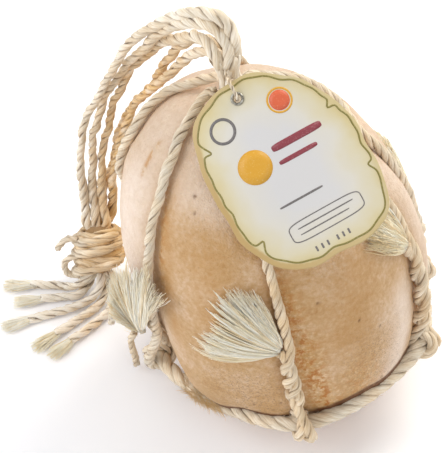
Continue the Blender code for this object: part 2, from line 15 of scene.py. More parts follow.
import bpy
import numpy as np
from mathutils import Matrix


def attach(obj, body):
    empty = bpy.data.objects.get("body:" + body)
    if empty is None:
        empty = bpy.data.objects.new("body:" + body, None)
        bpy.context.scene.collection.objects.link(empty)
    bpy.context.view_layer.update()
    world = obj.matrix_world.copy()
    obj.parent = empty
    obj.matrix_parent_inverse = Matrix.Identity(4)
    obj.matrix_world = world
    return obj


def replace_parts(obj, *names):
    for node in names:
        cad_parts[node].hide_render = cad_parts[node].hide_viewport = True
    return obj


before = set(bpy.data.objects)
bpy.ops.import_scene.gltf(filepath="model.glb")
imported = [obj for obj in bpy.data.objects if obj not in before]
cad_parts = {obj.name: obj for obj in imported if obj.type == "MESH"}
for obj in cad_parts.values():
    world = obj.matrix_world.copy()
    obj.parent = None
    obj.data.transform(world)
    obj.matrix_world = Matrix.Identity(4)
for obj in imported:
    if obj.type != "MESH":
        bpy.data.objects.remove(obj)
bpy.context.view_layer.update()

LOG = logging.getLogger("provolone")
Array = np.ndarray
Socket = bpy.types.NodeSocket
MM = 0.001
BODY = "root"
UP = np.array([0.0, 0.0, 1.0])


# ---------------------------------------------------------------- small sums

def unit(vectors: Array) -> Array:
    """The vectors at length one.

    Args:
        vectors: any array whose last axis holds x, y and z.

    Returns:
        An array of the same shape.
    """
    return vectors / np.maximum(np.linalg.norm(vectors, axis=-1, keepdims=True), 1e-12)


def dot(first: Array, second: Array) -> Array:
    """The products of two arrays of vectors, with the last axis kept at length one."""
    return np.sum(first * second, axis=-1, keepdims=True)


def smooth_step(values: Array, low: float, high: float) -> Array:
    """0 below low, 1 above high, and t t (3 - 2t) between them."""
    share = np.clip((values - low) / (high - low), 0.0, 1.0)
    return share * share * (3 - 2 * share)


def bell(away: Array) -> Array:
    """1 at nought, falling off on both sides: exp(-away^2)."""
    return np.exp(-(away**2))


def circle(count: int, start: float = 0.0) -> Array:
    """Evenly spaced angles once round, in radians."""
    return np.linspace(start, start + 2 * math.pi, count, endpoint=False)


def around(angle: Array, first: Array, second: Array) -> Array:
    """The direction at an angle from the first of two square directions towards the second."""
    return np.cos(angle) * first + np.sin(angle) * second


def square_to(axis: Array) -> tuple[Array, Array]:
    """Two directions square to an axis and to each other, the first as near to +X as it can be."""
    first = unit(np.array([1.0, 0, 0]) - axis[0] * axis)
    return first, np.cross(axis, first)


def turn_between(azimuth: Array, start: Array | float) -> Array:
    """The turn in degrees from one azimuth to another, between -180 and 180."""
    return np.mod(azimuth - start + 180, 360) - 180


def smooth_route(points: Any, spacing: float, closed: bool = False) -> Array:
    """Evenly spaced points along the Catmull-Rom curve through the given ones.

    Between two knots b and c, with a before and d after, the curve is half of
    2b + (c - a) t + (2a - 5b + 4c - d) t^2 + (3b - a - 3c + d) t^3, with t from 0 to 1.

    Args:
        points: the knots, n by 3, in metres.
        spacing: the wanted distance between the new points.
        closed: whether the curve comes back to its first knot, which isn't repeated.

    Returns:
        The new points, m by 3.
    """
    knots = np.asarray(points, float)
    if closed:
        padded = np.vstack([knots[-1:], knots, knots[:2]])
    else:
        padded = np.vstack([2 * knots[:1] - knots[1:2], knots, 2 * knots[-1:] - knots[-2:-1]])
    a, b, c, d = (padded[i:len(padded) - 3 + i, None] for i in range(4))
    t = np.linspace(0, 1, 24, endpoint=False)[None, :, None]
    curve = 0.5 * (2 * b + (c - a) * t + (2 * a - 5 * b + 4 * c - d) * t**2 + (3 * b - a - 3 * c + d) * t**3)
    fine = np.vstack([curve.reshape(-1, 3), padded[-2:-1]])
    run = run_along(fine)
    wanted = np.linspace(0, run[-1], max(4, round(run[-1] / spacing)) + 1)
    route = np.stack([np.interp(wanted, run, fine[:, axis]) for axis in range(3)], axis=1)
    return route[:-1] if closed else route


def run_along(points: Array) -> Array:
    """The distance from the first point to each one, along the line through them."""
    return np.concatenate([[0.0], np.cumsum(np.linalg.norm(np.diff(points, axis=0), axis=1))])


def moving_frames(path: Array, hint: Array) -> tuple[Array, Array, Array]:
    """Directions that go along a path without spinning about it.

    The first side direction is the hint less its part along the tangent. The spin that this choice has is summed
    along the path and taken off again.

    Args:
        path: points, n by 3.
        hint: one direction, or one for each point, that is never along the path.

    Returns:
        The tangents and two side directions, each n by 3. The second side is tangent x first side.
    """
    tangent = unit(np.gradient(path, axis=0))
    first = unit(hint - dot(hint, tangent) * tangent)
    second = np.cross(tangent, first)
    spin = np.sum(np.diff(first, axis=0) * (second[:-1] + second[1:]) / 2, axis=1)
    angle = -np.concatenate([[0.0], np.cumsum(spin)])[:, None]
    turned = around(angle, first, second)
    return tangent, turned, np.cross(tangent, turned)


def drift(run: Array, wave: float, seed: int) -> Array:
    """A slow wander between about -1 and 1: three sine waves of the given length and its 0.43 and 0.19 parts."""
    phases = np.random.default_rng(seed).uniform(0, 2 * math.pi, 3)
    parts = [(0.55, 1.0), (0.30, 0.43), (0.20, 0.19)]
    return sum(a * np.sin(2 * math.pi * run / (wave * b) + p) for (a, b), p in zip(parts, phases))


def value_noise(points: Array, size: float, seed: int) -> Array:
    """Smooth noise between -1 and 1.

    Each corner of a cubic lattice takes a value from a table of random numbers, found by mixing its three whole
    coordinates. The eight values round a point are blended with the weight t t (3 - 2t) along each axis.

    Args:
        points: places, n by 3, in metres.
        size: the lattice's spacing in metres, which is about the size of a bump.
        seed: picks the table.

    Returns:
        One value for each place.
    """
    table = np.random.default_rng(seed).uniform(-1, 1, 8192)
    base = np.floor(points / size).astype(np.int64)
    share = points / size - base
    share = share * share * (3 - 2 * share)
    total = np.zeros(len(points))
    for corner in ((x, y, z) for x in (0, 1) for y in (0, 1) for z in (0, 1)):
        place = base + corner
        key = (place[:, 0] * 73856093) ^ (place[:, 1] * 19349663) ^ (place[:, 2] * 83492791)
        weight = np.prod(np.where(np.array(corner) == 1, share, 1 - share), axis=1)
        total += weight * table[key % 8192]
    return total


def nearest_distance(points: Array, path: Array) -> Array:
    """The distance from each point to the nearest point of a path, worked out in blocks."""
    blocks = np.array_split(points, max(1, len(points) // 4000))
    return np.concatenate([np.sqrt(((b[:, None] - path[None]) ** 2).sum(-1).min(1)) for b in blocks])


# ---------------------------------------------------------------- surfaces

@dataclass
class Shell:
    """A surface in the making.

    Its points carry named values, and the corners of its faces carry a place on the "lay" map in millimetres,
    across and along.
    """

    points: Array
    quads: Array
    triangles: Array
    quad_map: Array
    triangle_map: Array
    values: dict[str, Array] = field(default_factory=dict)

    @property
    def face_count(self) -> int:
        """How many triangles the surface has."""
        return 2 * len(self.quads) + len(self.triangles)


def surface(grid: Array, across: Array | None = None, along: Array | None = None, wrap: bool = False,
            flip: bool = False, **values: Any) -> Shell:
    """A closed surface from rings of points.

    Rings follow one another along the third-last axis and always close round. Unless the rows wrap too, the
    first and the last ring are closed by a pole in their middle. Faces look outwards where the rings turn
    anticlockwise about the direction in which they follow one another.

    Args:
        grid: points, rows by columns by 3, or pieces by rows by columns by 3.
        across: the lay map's first value at each column, with one more value than there are columns.
        along: the lay map's second value at each row, or pieces by rows.
        wrap: whether the last ring joins the first.
        flip: turns the faces round.
        values: named values, one for each ring point, or of a shape that spreads over them.

    Returns:
        The shell.
    """
    grid = grid[None] if grid.ndim == 3 else grid
    pieces, rows, columns, _ = grid.shape
    across = np.arange(columns + 1.0) if across is None else np.asarray(across, float)
    along = np.arange(float(rows)) if along is None else np.asarray(along, float)
    along = np.broadcast_to(along, (pieces, rows))
    if wrap:
        along = np.concatenate([along, along[:, -1:] * 2 - along[:, -2:-1]], axis=1)
    number = np.arange(pieces * rows * columns).reshape(pieces, rows, columns)
    beside = np.roll(number, -1, axis=2)
    ahead = np.roll(number, -1, axis=1)
    diagonal = np.roll(beside, -1, axis=1)
    quads = np.stack([number, beside, diagonal, ahead], axis=-1)
    quads = quads if wrap else quads[:, :-1]
    tall = quads.shape[1]
    u0 = np.broadcast_to(across[:-1], (pieces, tall, columns))
    u1 = np.broadcast_to(across[1:], (pieces, tall, columns))
    v0 = np.broadcast_to(along[:, :tall, None], (pieces, tall, columns))
    v1 = np.broadcast_to(along[:, 1:tall + 1, None], (pieces, tall, columns))
    quad_map = np.stack([np.stack([u0, v0], -1), np.stack([u1, v0], -1), np.stack([u1, v1], -1),
                         np.stack([u0, v1], -1)], axis=-2).reshape(-1, 4, 2)
    quads = quads.reshape(-1, 4)
    points = grid.reshape(-1, 3)
    named = {key: np.broadcast_to(value, (pieces, rows, columns)) for key, value in values.items()}
    flat = {key: value.reshape(-1).astype(float) for key, value in named.items()}
    triangles, triangle_map = np.zeros((0, 3), int), np.zeros((0, 3, 2))
    if not wrap:
        first_pole = len(points) + np.arange(pieces)[:, None]
        last_pole = first_pole + pieces
        points = np.vstack([points, grid[:, 0].mean(1), grid[:, -1].mean(1)])
        opening = np.stack([np.broadcast_to(first_pole, (pieces, columns)), beside[:, 0], number[:, 0]], -1)
        closing = np.stack([np.broadcast_to(last_pole, (pieces, columns)), number[:, -1], beside[:, -1]], -1)
        triangles = np.concatenate([opening.reshape(-1, 3), closing.reshape(-1, 3)])
        middle = (u0[:, :1] + u1[:, :1]) / 2
        caps = []
        for row, left, right in ((0, u1[:, :1], u0[:, :1]), (rows - 1, u0[:, :1], u1[:, :1])):
            v = np.broadcast_to(along[:, row, None, None], middle.shape)
            caps.append(np.stack([np.stack([middle, v], -1), np.stack([left, v], -1),
                                  np.stack([right, v], -1)], -2).reshape(-1, 3, 2))
        triangle_map = np.concatenate(caps)
        flat = {key: np.concatenate([flat[key], value[:, 0].mean(1), value[:, -1].mean(1)])
                for key, value in named.items()}
    if flip:
        quads, quad_map = quads[:, ::-1], quad_map[:, ::-1]
        triangles, triangle_map = triangles[:, ::-1], triangle_map[:, ::-1]
    return Shell(points, quads, triangles, quad_map, triangle_map, flat)


def joined(shells: Sequence[Shell]) -> Shell:
    """Several shells as one. A value that one of them lacks is 0 there."""
    starts = np.cumsum([0] + [len(s.points) for s in shells[:-1]])
    names = sorted({name for s in shells for name in s.values})
    return Shell(
        np.vstack([s.points for s in shells]),
        np.vstack([s.quads + start for s, start in zip(shells, starts)]),
        np.vstack([s.triangles + start for s, start in zip(shells, starts)]),
        np.concatenate([s.quad_map for s in shells]),
        np.concatenate([s.triangle_map for s in shells]),
        {n: np.concatenate([s.values.get(n, np.zeros(len(s.points))) for s in shells]) for n in names},
    )


def add_piece(name: str, shell: Shell, material: bpy.types.Material) -> bpy.types.Object:
    """Puts a shell into the scene as a smooth piece that rides on the body.

    Args:
        name: the piece's name.
        shell: its surface.
        material: its finish.

    Returns:
        The new object, at the origin, unturned and unscaled.
    """
    mesh = bpy.data.meshes.new(name)
    corners = np.concatenate([shell.quads.ravel(), shell.triangles.ravel()]).astype(np.int32)
    starts = np.concatenate([np.arange(len(shell.quads)) * 4,
                             len(shell.quads) * 4 + np.arange(len(shell.triangles)) * 3]).astype(np.int32)
    mesh.vertices.add(len(shell.points))
    mesh.vertices.foreach_set("co", shell.points.astype(np.float32).ravel())
    mesh.loops.add(len(corners))
    mesh.loops.foreach_set("vertex_index", corners)
    mesh.polygons.add(len(starts))
    mesh.polygons.foreach_set("loop_start", starts)
    mesh.polygons.foreach_set("use_smooth", np.ones(len(starts), bool))
    mesh.update(calc_edges=True)
    places = np.concatenate([shell.quad_map.reshape(-1, 2), shell.triangle_map.reshape(-1, 2)])
    mesh.uv_layers.new(name="lay").data.foreach_set("uv", places.astype(np.float32).ravel())
    for key, value in shell.values.items():
        layer = mesh.attributes.new(key, "FLOAT", "POINT")
        layer.data.foreach_set("value", value.astype(np.float32))
    mesh.materials.append(material)
    piece = bpy.data.objects.new(name, mesh)
    bpy.context.scene.collection.objects.link(piece)
    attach(piece, BODY)
    LOG.info("%s: %d triangles", name, shell.face_count)
    return piece


def fibres(lines: Array, thickness: Array, **values: Any) -> Shell:
    """Thin tapered hairs with three sides.

    Args:
        lines: centre lines, hairs by points by 3.
        thickness: radii, hairs by points.
        values: named values, hairs by points.

    Returns:
        All of them as one shell.
    """
    tangent = unit(np.gradient(lines, axis=1))
    hint = np.array([0.31, 0.55, 0.77])
    first = unit(hint - dot(tangent, hint) * tangent)
    second = np.cross(tangent, first)
    ring = around(circle(3)[None, None, :, None], first[:, :, None], second[:, :, None])
    grid = lines[:, :, None] + thickness[:, :, None, None] * ring
    run = np.linalg.norm(np.diff(lines, axis=1), axis=2).cumsum(1) / MM
    run = np.concatenate([np.zeros((len(lines), 1)), run], axis=1)
    return surface(grid, across=np.arange(4) * 0.4, along=run, **{k: v[:, :, None] for k, v in values.items()})


# ---------------------------------------------------------------- finishes

def linear(colour: str) -> tuple[float, float, float, float]:
    """An sRGB hex value as linear light with full alpha.

    Args:
        colour: such as "#D8C5A8".

    Returns:
        Red, green, blue and alpha.
    """
    parts = np.array([int(colour[i:i + 2], 16) for i in (1, 3, 5)]) / 255
    red, green, blue = np.where(parts <= 0.04045, parts / 12.92, ((parts + 0.055) / 1.055) ** 2.4)
    return float(red), float(green), float(blue), 1.0


@dataclass(frozen=True)
class Graph:
    """A material's node tree, with a call for each kind of node that the finishes share.

    Each call adds its node and gives the output that feeds the next one.
    """

    tree: bpy.types.NodeTree

    def node(self, kind: str, inputs: dict[Any, Any], **settings: Any) -> bpy.types.Node:
        """Adds a node with its settings and links.

        Args:
            kind: the node's type name after "ShaderNode".
            inputs: for each input, by name or number, a value or the output that feeds it.
            settings: the node's own properties.

        Returns:
            The node.
        """
        node = self.tree.nodes.new(f"ShaderNode{kind}")
        for name, value in settings.items():
            setattr(node, name, value)
        for key, value in inputs.items():
            if isinstance(value, Socket):
                self.tree.links.new(value, node.inputs[key])
            else:
                node.inputs[key].default_value = value
        return node

    def place(self) -> Socket:
        """The place on the piece, in metres."""
        return self.node("TexCoord", {}).outputs["Object"]

    def value(self, name: str) -> Socket:
        """One of the surface's named values."""
        return self.node("Attribute", {}, attribute_name=name).outputs["Fac"]

    def noise(self, place: Socket, size: float, detail: float = 2.0, roughness: float = 0.5) -> Socket:
        """Cloudy noise in lumps of about the given size, in thousandths of the place's unit."""
        return self.node("TexNoise", {"Vector": place, "Scale": 1000 / size, "Detail": detail,
                                      "Roughness": roughness}).outputs[0]

    def spread(self, value: Socket, low: float, high: float, least: float = 0.0, most: float = 1.0,
               **settings: Any) -> Socket:
        """The value moved from the range low to high onto the range least to most, and kept inside it."""
        return self.node("MapRange", {"Value": value, "From Min": low, "From Max": high, "To Min": least,
                                      "To Max": most}, **settings).outputs[0]

    def plus(self, first: Socket, second: Socket | float, clamp: bool = False) -> Socket:
        """The sum of two values, kept between 0 and 1 if it is clamped."""
        return self.node("Math", {0: first, 1: second}, operation="ADD", use_clamp=clamp).outputs[0]

    def times(self, first: Socket, second: Socket | float, clamp: bool = False) -> Socket:
        """The product of two values, kept between 0 and 1 if it is clamped."""
        return self.node("Math", {0: first, 1: second}, operation="MULTIPLY", use_clamp=clamp).outputs[0]

    def ramp(self, value: Socket, *stops: tuple[float, str]) -> Socket:
        """A colour picked by a value from stops, each a place and a hex colour."""
        node = self.node("ValToRGB", {"Fac": value})
        elements = node.color_ramp.elements
        elements.remove(elements[1])
        elements[0].position, elements[0].color = stops[0][0], linear(stops[0][1])
        for place, colour in stops[1:]:
            elements.new(place).color = linear(colour)
        return node.outputs[0]

    def mixed(self, share: Socket, under: Socket, over: Socket | str) -> Socket:
        """One colour laid over another by a share. The upper one may be a hex colour."""
        over = linear(over) if isinstance(over, str) else over
        return self.node("Mix", {0: share, 6: under, 7: over}, data_type="RGBA").outputs[2]

    def bump(self, height: Socket, strength: float, distance: float) -> Socket:
        """Relief from a height, with its full rise in metres."""
        return self.node("Bump", {"Strength": strength, "Distance": distance, "Height": height}).outputs[0]


@dataclass(frozen=True)
class Finish:
    """What every finish shares: its stuff's name and how rough it is."""

    name: str = "stuff"
    roughness: float = 0.8

    def material(self) -> bpy.types.Material:
        """The material, made at its first use."""
        found = bpy.data.materials.get(self.name)
        if found:
            return found
        made = bpy.data.materials.new(self.name)
        made.use_nodes = True
        made.node_tree.nodes.clear()
        graph = Graph(made.node_tree)
        shader = graph.node("BsdfPrincipled", {"Roughness": self.roughness, **self.dress(graph)})
        graph.node("OutputMaterial", {"Surface": shader.outputs[0]})
        return made

    def dress(self, graph: Graph) -> dict[str, Any]:
        """What feeds the shader's inputs: the finish's colour, relief and other values."""
        raise NotImplementedError


@dataclass(frozen=True)
class RindFinish(Finish):
    """Dry natural rind of aged stretched-curd cheese, rubbed and smoothed by hand.

    It gives a peach and beige skin with cloudy mottling, pale rubbed places that also carry painted highlights and
    painted light on the top and sides, fine pits, ochre crust where the ropes have sweated, stains that also carry
    painted shade beside the ropes, and dark specks with a painted shadow line over the ring.
    """

    name: str = "dry natural rind"
    roughness: float = 0.56
    cloud_size: float = 26.0     # mm
    fleck_size: float = 2.6
    pit_size: float = 3.4
    patch_size: float = 4.6
    grain_size: float = 0.9

    def dress(self, graph: Graph) -> dict[str, Any]:
        """Mixes clouds, flecks, crust, stains with painted shade, scorched specks with a painted shadow line over
        the ring, and pale rubbed places with painted highlights, and raises grain and pits.
        """
        place = graph.place()
        cloud = graph.noise(place, self.cloud_size, 3.0, 0.55)
        fleck = graph.noise(place, self.fleck_size, 3.0, 0.6)
        grain = graph.noise(place, self.grain_size, 2.0, 0.6)
        patch = graph.noise(place, self.patch_size, 4.0, 0.7)
        tone = graph.spread(graph.plus(cloud, graph.times(fleck, 0.90)), 0.64, 1.24)
        colour = graph.ramp(tone, (0.0, "#B48751"), (0.35, "#C19A68"), (0.62, "#CAA67D"), (1.0, "#D8BC9B"))
        # a value's name, the noise that breaks it up, its colour, the noise's range and the share at both ends of it
        layers = [
            # pale rubbed places, and painted light: a painted highlight down the right lobe and a paler top and left
            # side
            ("bloom", patch, "#F6E7DA", 0.3, 0.8, 0.70, 1.1),
            # real stains, and painted shade along the rope channels and in the groove beside the left rope
            ("stain", patch, "#BC8C50", 0.3, 0.7, 0.3, 1.0),
            ("crust", patch, "#CB9F5F", 0.40, 0.55, 0.0, 1.05),
            ("crust", fleck, "#E8CDA4", 0.53, 0.66, 0.0, 0.65),
            ("crust", patch, "#B06B25", 0.48, 0.58, 0.0, 0.95),
            ("pitted", grain, "#86674C", 0.52, 0.64, 0.0, 0.80),
            # dark specks, and painted shadow: a dark line where the rind meets the ring
            ("scorch", fleck, "#6B4324", 0.3, 0.7, 0.8, 1.2),
        ]
        for key, noise, tint, low, high, least, most in layers:
            share = graph.times(graph.value(key), graph.spread(noise, low, high, least, most), clamp=True)
            colour = graph.mixed(share, colour, tint)
        pits = graph.node("TexVoronoi", {"Vector": place, "Scale": 1000 / self.pit_size, "Randomness": 1.0})
        hollow = graph.spread(pits.outputs["Distance"], 0.05, 0.32, interpolation_type="SMOOTHSTEP")
        lumps = graph.plus(graph.plus(graph.times(hollow, 0.35), grain), fleck)
        gloss = graph.spread(fleck, 0.0, 1.0, self.roughness - 0.10, self.roughness + 0.14)
        return {"Base Color": colour, "Normal": graph.bump(lumps, 0.90, 0.00060), "Roughness": gloss,
                "Subsurface Weight": 0.08, "Subsurface Radius": (0.006, 0.004, 0.002), "Specular IOR Level": 0.40}


@dataclass(frozen=True)
class RopeFinish(Finish):
    """Undyed hemp and raffia rope, laid from loosely spun strands.

    It gives long straw-coloured streaks along each strand, browner where the rope is golden, painted shade in the
    furrows between the strands, and a dry, whitish look on the crowns.
    """

    name: str = "laid natural fibre rope"
    roughness: float = 0.86
    streak_width: float = 0.42   # mm
    streak_length: float = 9.0
    lay_slant: float = 18.0      # degrees between a strand's fibres and its own run
    blotch_size: float = 17.0

    def dress(self, graph: Graph) -> dict[str, Any]:
        """Streaks run along the lay map, the gold and tone values shift the colour, and the furrow value lays
        painted shade.
        """
        turned = graph.node("Mapping", {
            "Vector": graph.node("UVMap", {}, uv_map="lay").outputs[0],
            "Rotation": (0.0, 0.0, math.radians(self.lay_slant)),
            "Scale": (1 / self.streak_width, 1 / self.streak_length, 1)}).outputs[0]
        streak = graph.noise(turned, 1000.0, 3.0, 0.62)
        blotch = graph.noise(graph.place(), self.blotch_size)
        pale = graph.ramp(streak, (0.26, "#BFA887"), (0.43, "#E0D0B6"), (0.58, "#EDE2CF"), (0.78, "#F8F3E9"))
        golden = graph.ramp(streak, (0.26, "#A87B40"), (0.43, "#D9AE70"), (0.58, "#E8C68F"), (0.78, "#F4E0BA"))
        patchy = graph.spread(blotch, 0.35, 0.65, -0.16, 0.20)
        colour = graph.mixed(graph.plus(graph.value("gold"), patchy, clamp=True), pale, golden)
        tone = graph.value("tone")
        light = graph.spread(tone, 0.0, 1.25, 0.86, 1.18)
        colour = graph.node("HueSaturation", {"Value": light, "Color": colour}).outputs[0]
        colour = graph.mixed(graph.spread(tone, 0.85, 1.25, 0.0, 0.65), colour, "#FBF7ED")
        # painted shade: darkens the strands' inner sides, where they turn into the furrows
        sunk = graph.times(graph.value("furrow"), 0.80, clamp=True)
        return {"Base Color": graph.mixed(sunk, colour, "#77552F"), "Normal": graph.bump(streak, 0.75, 0.00035),
                "Sheen Weight": 0.18, "Specular IOR Level": 0.25}


@dataclass(frozen=True)
class CombedFinish(Finish):
    """Combed-out rope fibre, soft and slightly waxy.

    It gives cream fibres with some straw, olive and nearly white among them, darkened by painted shade at the root
    and where they lie under others.
    """

    name: str = "combed rope fibre"
    roughness: float = 0.7

    def dress(self, graph: Graph) -> dict[str, Any]:
        """The tone value picks a fibre's colour, and the furrow value lays painted shade on what lies under others.
        """
        tone = graph.value("tone")
        cream = graph.ramp(tone, (0.0, "#F1DDB8"), (0.3, "#FCEED3"), (0.65, "#FFF8E8"), (1.0, "#FFFEF7"))
        straw = graph.ramp(tone, (0.0, "#E6C688"), (0.4, "#F7E2B4"), (1.0, "#FFF6DC"))
        # painted shade on fibres that lie under others and at the roots
        sunk = graph.times(graph.value("furrow"), 0.12, clamp=True)
        colour = graph.mixed(sunk, graph.mixed(graph.value("gold"), cream, straw), "#8A6C44")
        return {"Base Color": colour, "Subsurface Weight": 0.45, "Subsurface Radius": (0.0022, 0.0021, 0.0019),
                "Sheen Weight": 0.25, "Specular IOR Level": 0.35}


@dataclass(frozen=True)
class CardFinish(Finish):
    """Stout coated card, printed with a parchment edge and lightly handled.

    It gives a cool white middle that warms to cream and straw towards the rim, with a soft sheen.
    """

    name: str = "printed coated card"
    roughness: float = 0.42
    wash_size: float = 16.0      # mm
    fibre_size: float = 1.1

    def dress(self, graph: Graph) -> dict[str, Any]:
        """The edge value, in millimetres from the rim, sets the printed colour, made uneven by a noise."""
        edge, place = graph.value("edge"), graph.place()
        uneven = graph.spread(graph.noise(place, self.wash_size), 0.3, 0.7, -3.0, 3.0)
        inner = graph.ramp(graph.spread(graph.plus(edge, uneven), 2.0, 30.0),
                           (0.0, "#D2C290"), (0.22, "#D7CDAE"), (0.55, "#D9D4C8"), (1.0, "#D4D2D1"))
        rim = graph.times(graph.spread(edge, 2.6, 4.0, 1.0, 0.0), graph.value("warm"), clamp=True)
        grain = graph.noise(place, self.fibre_size)
        return {"Base Color": graph.mixed(rim, inner, "#BE9F66"), "Normal": graph.bump(grain, 0.12, 0.0002),
                "Coat Weight": 0.15, "Coat Roughness": 0.25}


@dataclass(frozen=True)
class InkFinish(Finish):
    """Offset printing ink on coated card. It gives a flat colour, slightly speckled where the card shows."""

    name: str = "printing ink"
    roughness: float = 0.45
    tint: str = "#8A8A88"
    worn: str = "#B5B3AE"
    speck_size: float = 0.8      # mm

    def dress(self, graph: Graph) -> dict[str, Any]:
        """A fine noise lets a little of the card through."""
        speck = graph.noise(graph.place(), self.speck_size)
        return {"Base Color": graph.ramp(speck, (0.35, self.tint), (0.55, self.tint), (0.8, self.worn))}


@dataclass(frozen=True)
class EyeletFinish(Finish):
    """Rolled nickelled eyelet, dulled by handling. It gives a pale grey metal with darker specks."""

    name: str = "dulled nickel plate"
    roughness: float = 0.38
    tarnish_size: float = 1.2    # mm

    def dress(self, graph: Graph) -> dict[str, Any]:
        """Tarnish is a noise between dark grey and nickel."""
        tarnish = graph.noise(graph.place(), self.tarnish_size, 3.0)
        colour = graph.ramp(tarnish, (0.3, "#77736A"), (0.55, "#B3AFA4"), (0.8, "#DEDAD0"))
        return {"Base Color": colour, "Metallic": 1.0}


class Slot(Enum):
    """Material slot names."""

    RIND = "rind"
    NET = "net_rope"
    GOLDEN = "golden_rope"
    FRAYED = "frayed_rope"
    CARD = "card"
    METAL = "eyelet_metal"


# ---------------------------------------------------------------- the cheese's form

@dataclass(frozen=True)
class RindForm:
    """The leaning melon form that everything else is laid on.

    The radius at an azimuth and a height is the turned profile's, less a groove's depth times how far the place
    is from the crown of its lobe. A net rope's route is its azimuth in degrees at each of the steps, which are
    fractions of the way down. Every method takes and gives whole arrays.
    """

    height: float = 0.2216
    belly_radius: float = 0.0862
    belly_height: float = 0.0955
    foot_radius: float = 0.036
    shoulder_rise: float = 2.62
    shoulder_round: float = 2.3
    foot_round: float = 1.95
    foot_offset: float = 0.0048
    lean: float = 0.0405
    lean_power: float = 1.12
    groove_top: float = 0.020
    groove_foot: float = 0.082
    groove_sharpness: float = 0.90
    steps: tuple[float, ...] = (0.06, 0.15, 0.235, 0.35, 0.46, 0.55, 0.76)
    ropes: dict[str, tuple[float, ...]] = field(default_factory=lambda: {
        "front": (266, 270, 272, 273, 273.5, 273, 272),
        "right": (330, 335, 338, 341, 343, 342, 339),
        "right_back": (60, 46, 8, 7, 12, 16, 22),
        "back": (96, 92, 90, 88, 86, 84, 80),
        "left_back": (128, 150, 170, 170, 158, 148, 132),
        "left": (186, 214, 219, 218, 214, 209, 191),
    })
    groove_offsets: dict[str, float] = field(default_factory=lambda: {"front": 6, "right": 1, "left": 5})

    def height_at(self, step: Array) -> Array:
        """Height at a fraction of the way down, closer together at both ends: H (1 + cos(pi step)) / 2."""
        return self.height * (1 + np.cos(math.pi * np.asarray(step, float))) / 2

    def step_at(self, z: Array) -> Array:
        """The fraction of the way down at a height."""
        return np.arccos(np.clip(2 * np.asarray(z) / self.height - 1, -1, 1)) / math.pi

    def centre_x(self, z: Array) -> Array:
        """Where the section's centre lies sideways: foot offset - lean (z / H) ^ power."""
        return self.foot_offset - self.lean * np.clip(np.asarray(z) / self.height, 0, 1) ** self.lean_power

    def plain_radius(self, z: Array) -> Array:
        """The turned profile: a superellipse shoulder above the belly, and a rounder foot with a flat below it."""
        z = np.asarray(z, float)
        rise = np.clip((z - self.belly_height) / (self.height - self.belly_height), 0, 1)
        upper = np.maximum(1 - rise**self.shoulder_rise, 0) ** (1 / self.shoulder_round)
        reach = (1 - (self.foot_radius / self.belly_radius) ** self.foot_round) ** (1 / self.foot_round)
        fall = np.clip(reach * (self.belly_height - z) / self.belly_height, 0, 1)
        lower = (1 - fall**self.foot_round) ** (1 / self.foot_round)
        return self.belly_radius * np.where(z >= self.belly_height, upper, lower)

    def rope_azimuth(self, rope: str, step: Array) -> Array:
        """A net rope's azimuth in degrees at a fraction of the way down."""
        return np.interp(step, self.steps, self.ropes[rope])

    def swelling(self, azimuth: Array, z: Array) -> Array:
        """0 in a groove and 1 on the crown of a lobe: sin(pi phase) ^ sharpness between two grooves."""
        azimuth, z = np.broadcast_arrays(np.asarray(azimuth, float), np.asarray(z, float))
        step = np.clip(self.step_at(z), 0.35, 0.76)
        apart = np.minimum(1.0, (0.76 - step) / 0.16)
        grooves = np.stack([self.rope_azimuth(r, step) + apart * self.groove_offsets.get(r, 0)
                            for r in self.ropes], axis=-1)
        after = np.min(np.mod(azimuth[..., None] - grooves, 360), axis=-1)
        before = np.min(np.mod(grooves - azimuth[..., None], 360), axis=-1)
        phase = after / np.maximum(after + before, 1e-9)
        return np.sin(math.pi * np.clip(phase, 0, 1)) ** self.groove_sharpness

    def radius(self, azimuth: Array, z: Array) -> Array:
        """The rind's radius at an azimuth and a height."""
        down = 1 - np.asarray(z, float) / self.height
        depth = self.groove_top + (self.groove_foot - self.groove_top) * down
        fade = np.clip(down / 0.12, 0, 1) * np.clip((1 - down) / 0.10, 0, 1)
        return self.plain_radius(z) * (1 - depth * fade * (1 - self.swelling(azimuth, z)))

    def point(self, azimuth: Array, z: Array) -> Array:
        """Places on the rind."""
        radius, angle = self.radius(azimuth, z), np.radians(azimuth)
        x, y = self.centre_x(z) + radius * np.cos(angle), radius * np.sin(angle)
        return np.stack(np.broadcast_arrays(x, y, np.asarray(z, float)), axis=-1)

    def normal(self, azimuth: Array, step: Array) -> Array:
        """Outward directions, from differences along and round the surface."""
        azimuth, step = np.asarray(azimuth, float), np.asarray(step, float)
        upper = self.point(azimuth, self.height_at(np.maximum(step - 0.01, 0.012)))
        lower = self.point(azimuth, self.height_at(step + 0.01))
        z = self.height_at(step)
        return unit(np.cross(lower - upper, self.point(azimuth + 3, z) - self.point(azimuth - 3, z)))

    def over(self, azimuth: Array, step: Array, lift: Array) -> Array:
        """Places at a height over the rind."""
        lift = np.asarray(lift, float)[..., None]
        return self.point(azimuth, self.height_at(step)) + lift * self.normal(azimuth, step)


FORM = RindForm()


@dataclass(frozen=True)
class Mark:
    """A patch on the rind: a line of azimuths over heights in mm, and its half width in mm.

    Its strength falls off as exp(-(distance / half width)^2), and fades over the last fifth of its height.
    """

    kind: str
    heights: tuple[float, ...]
    azimuths: tuple[float, ...]
    half_width: float
    strength: float


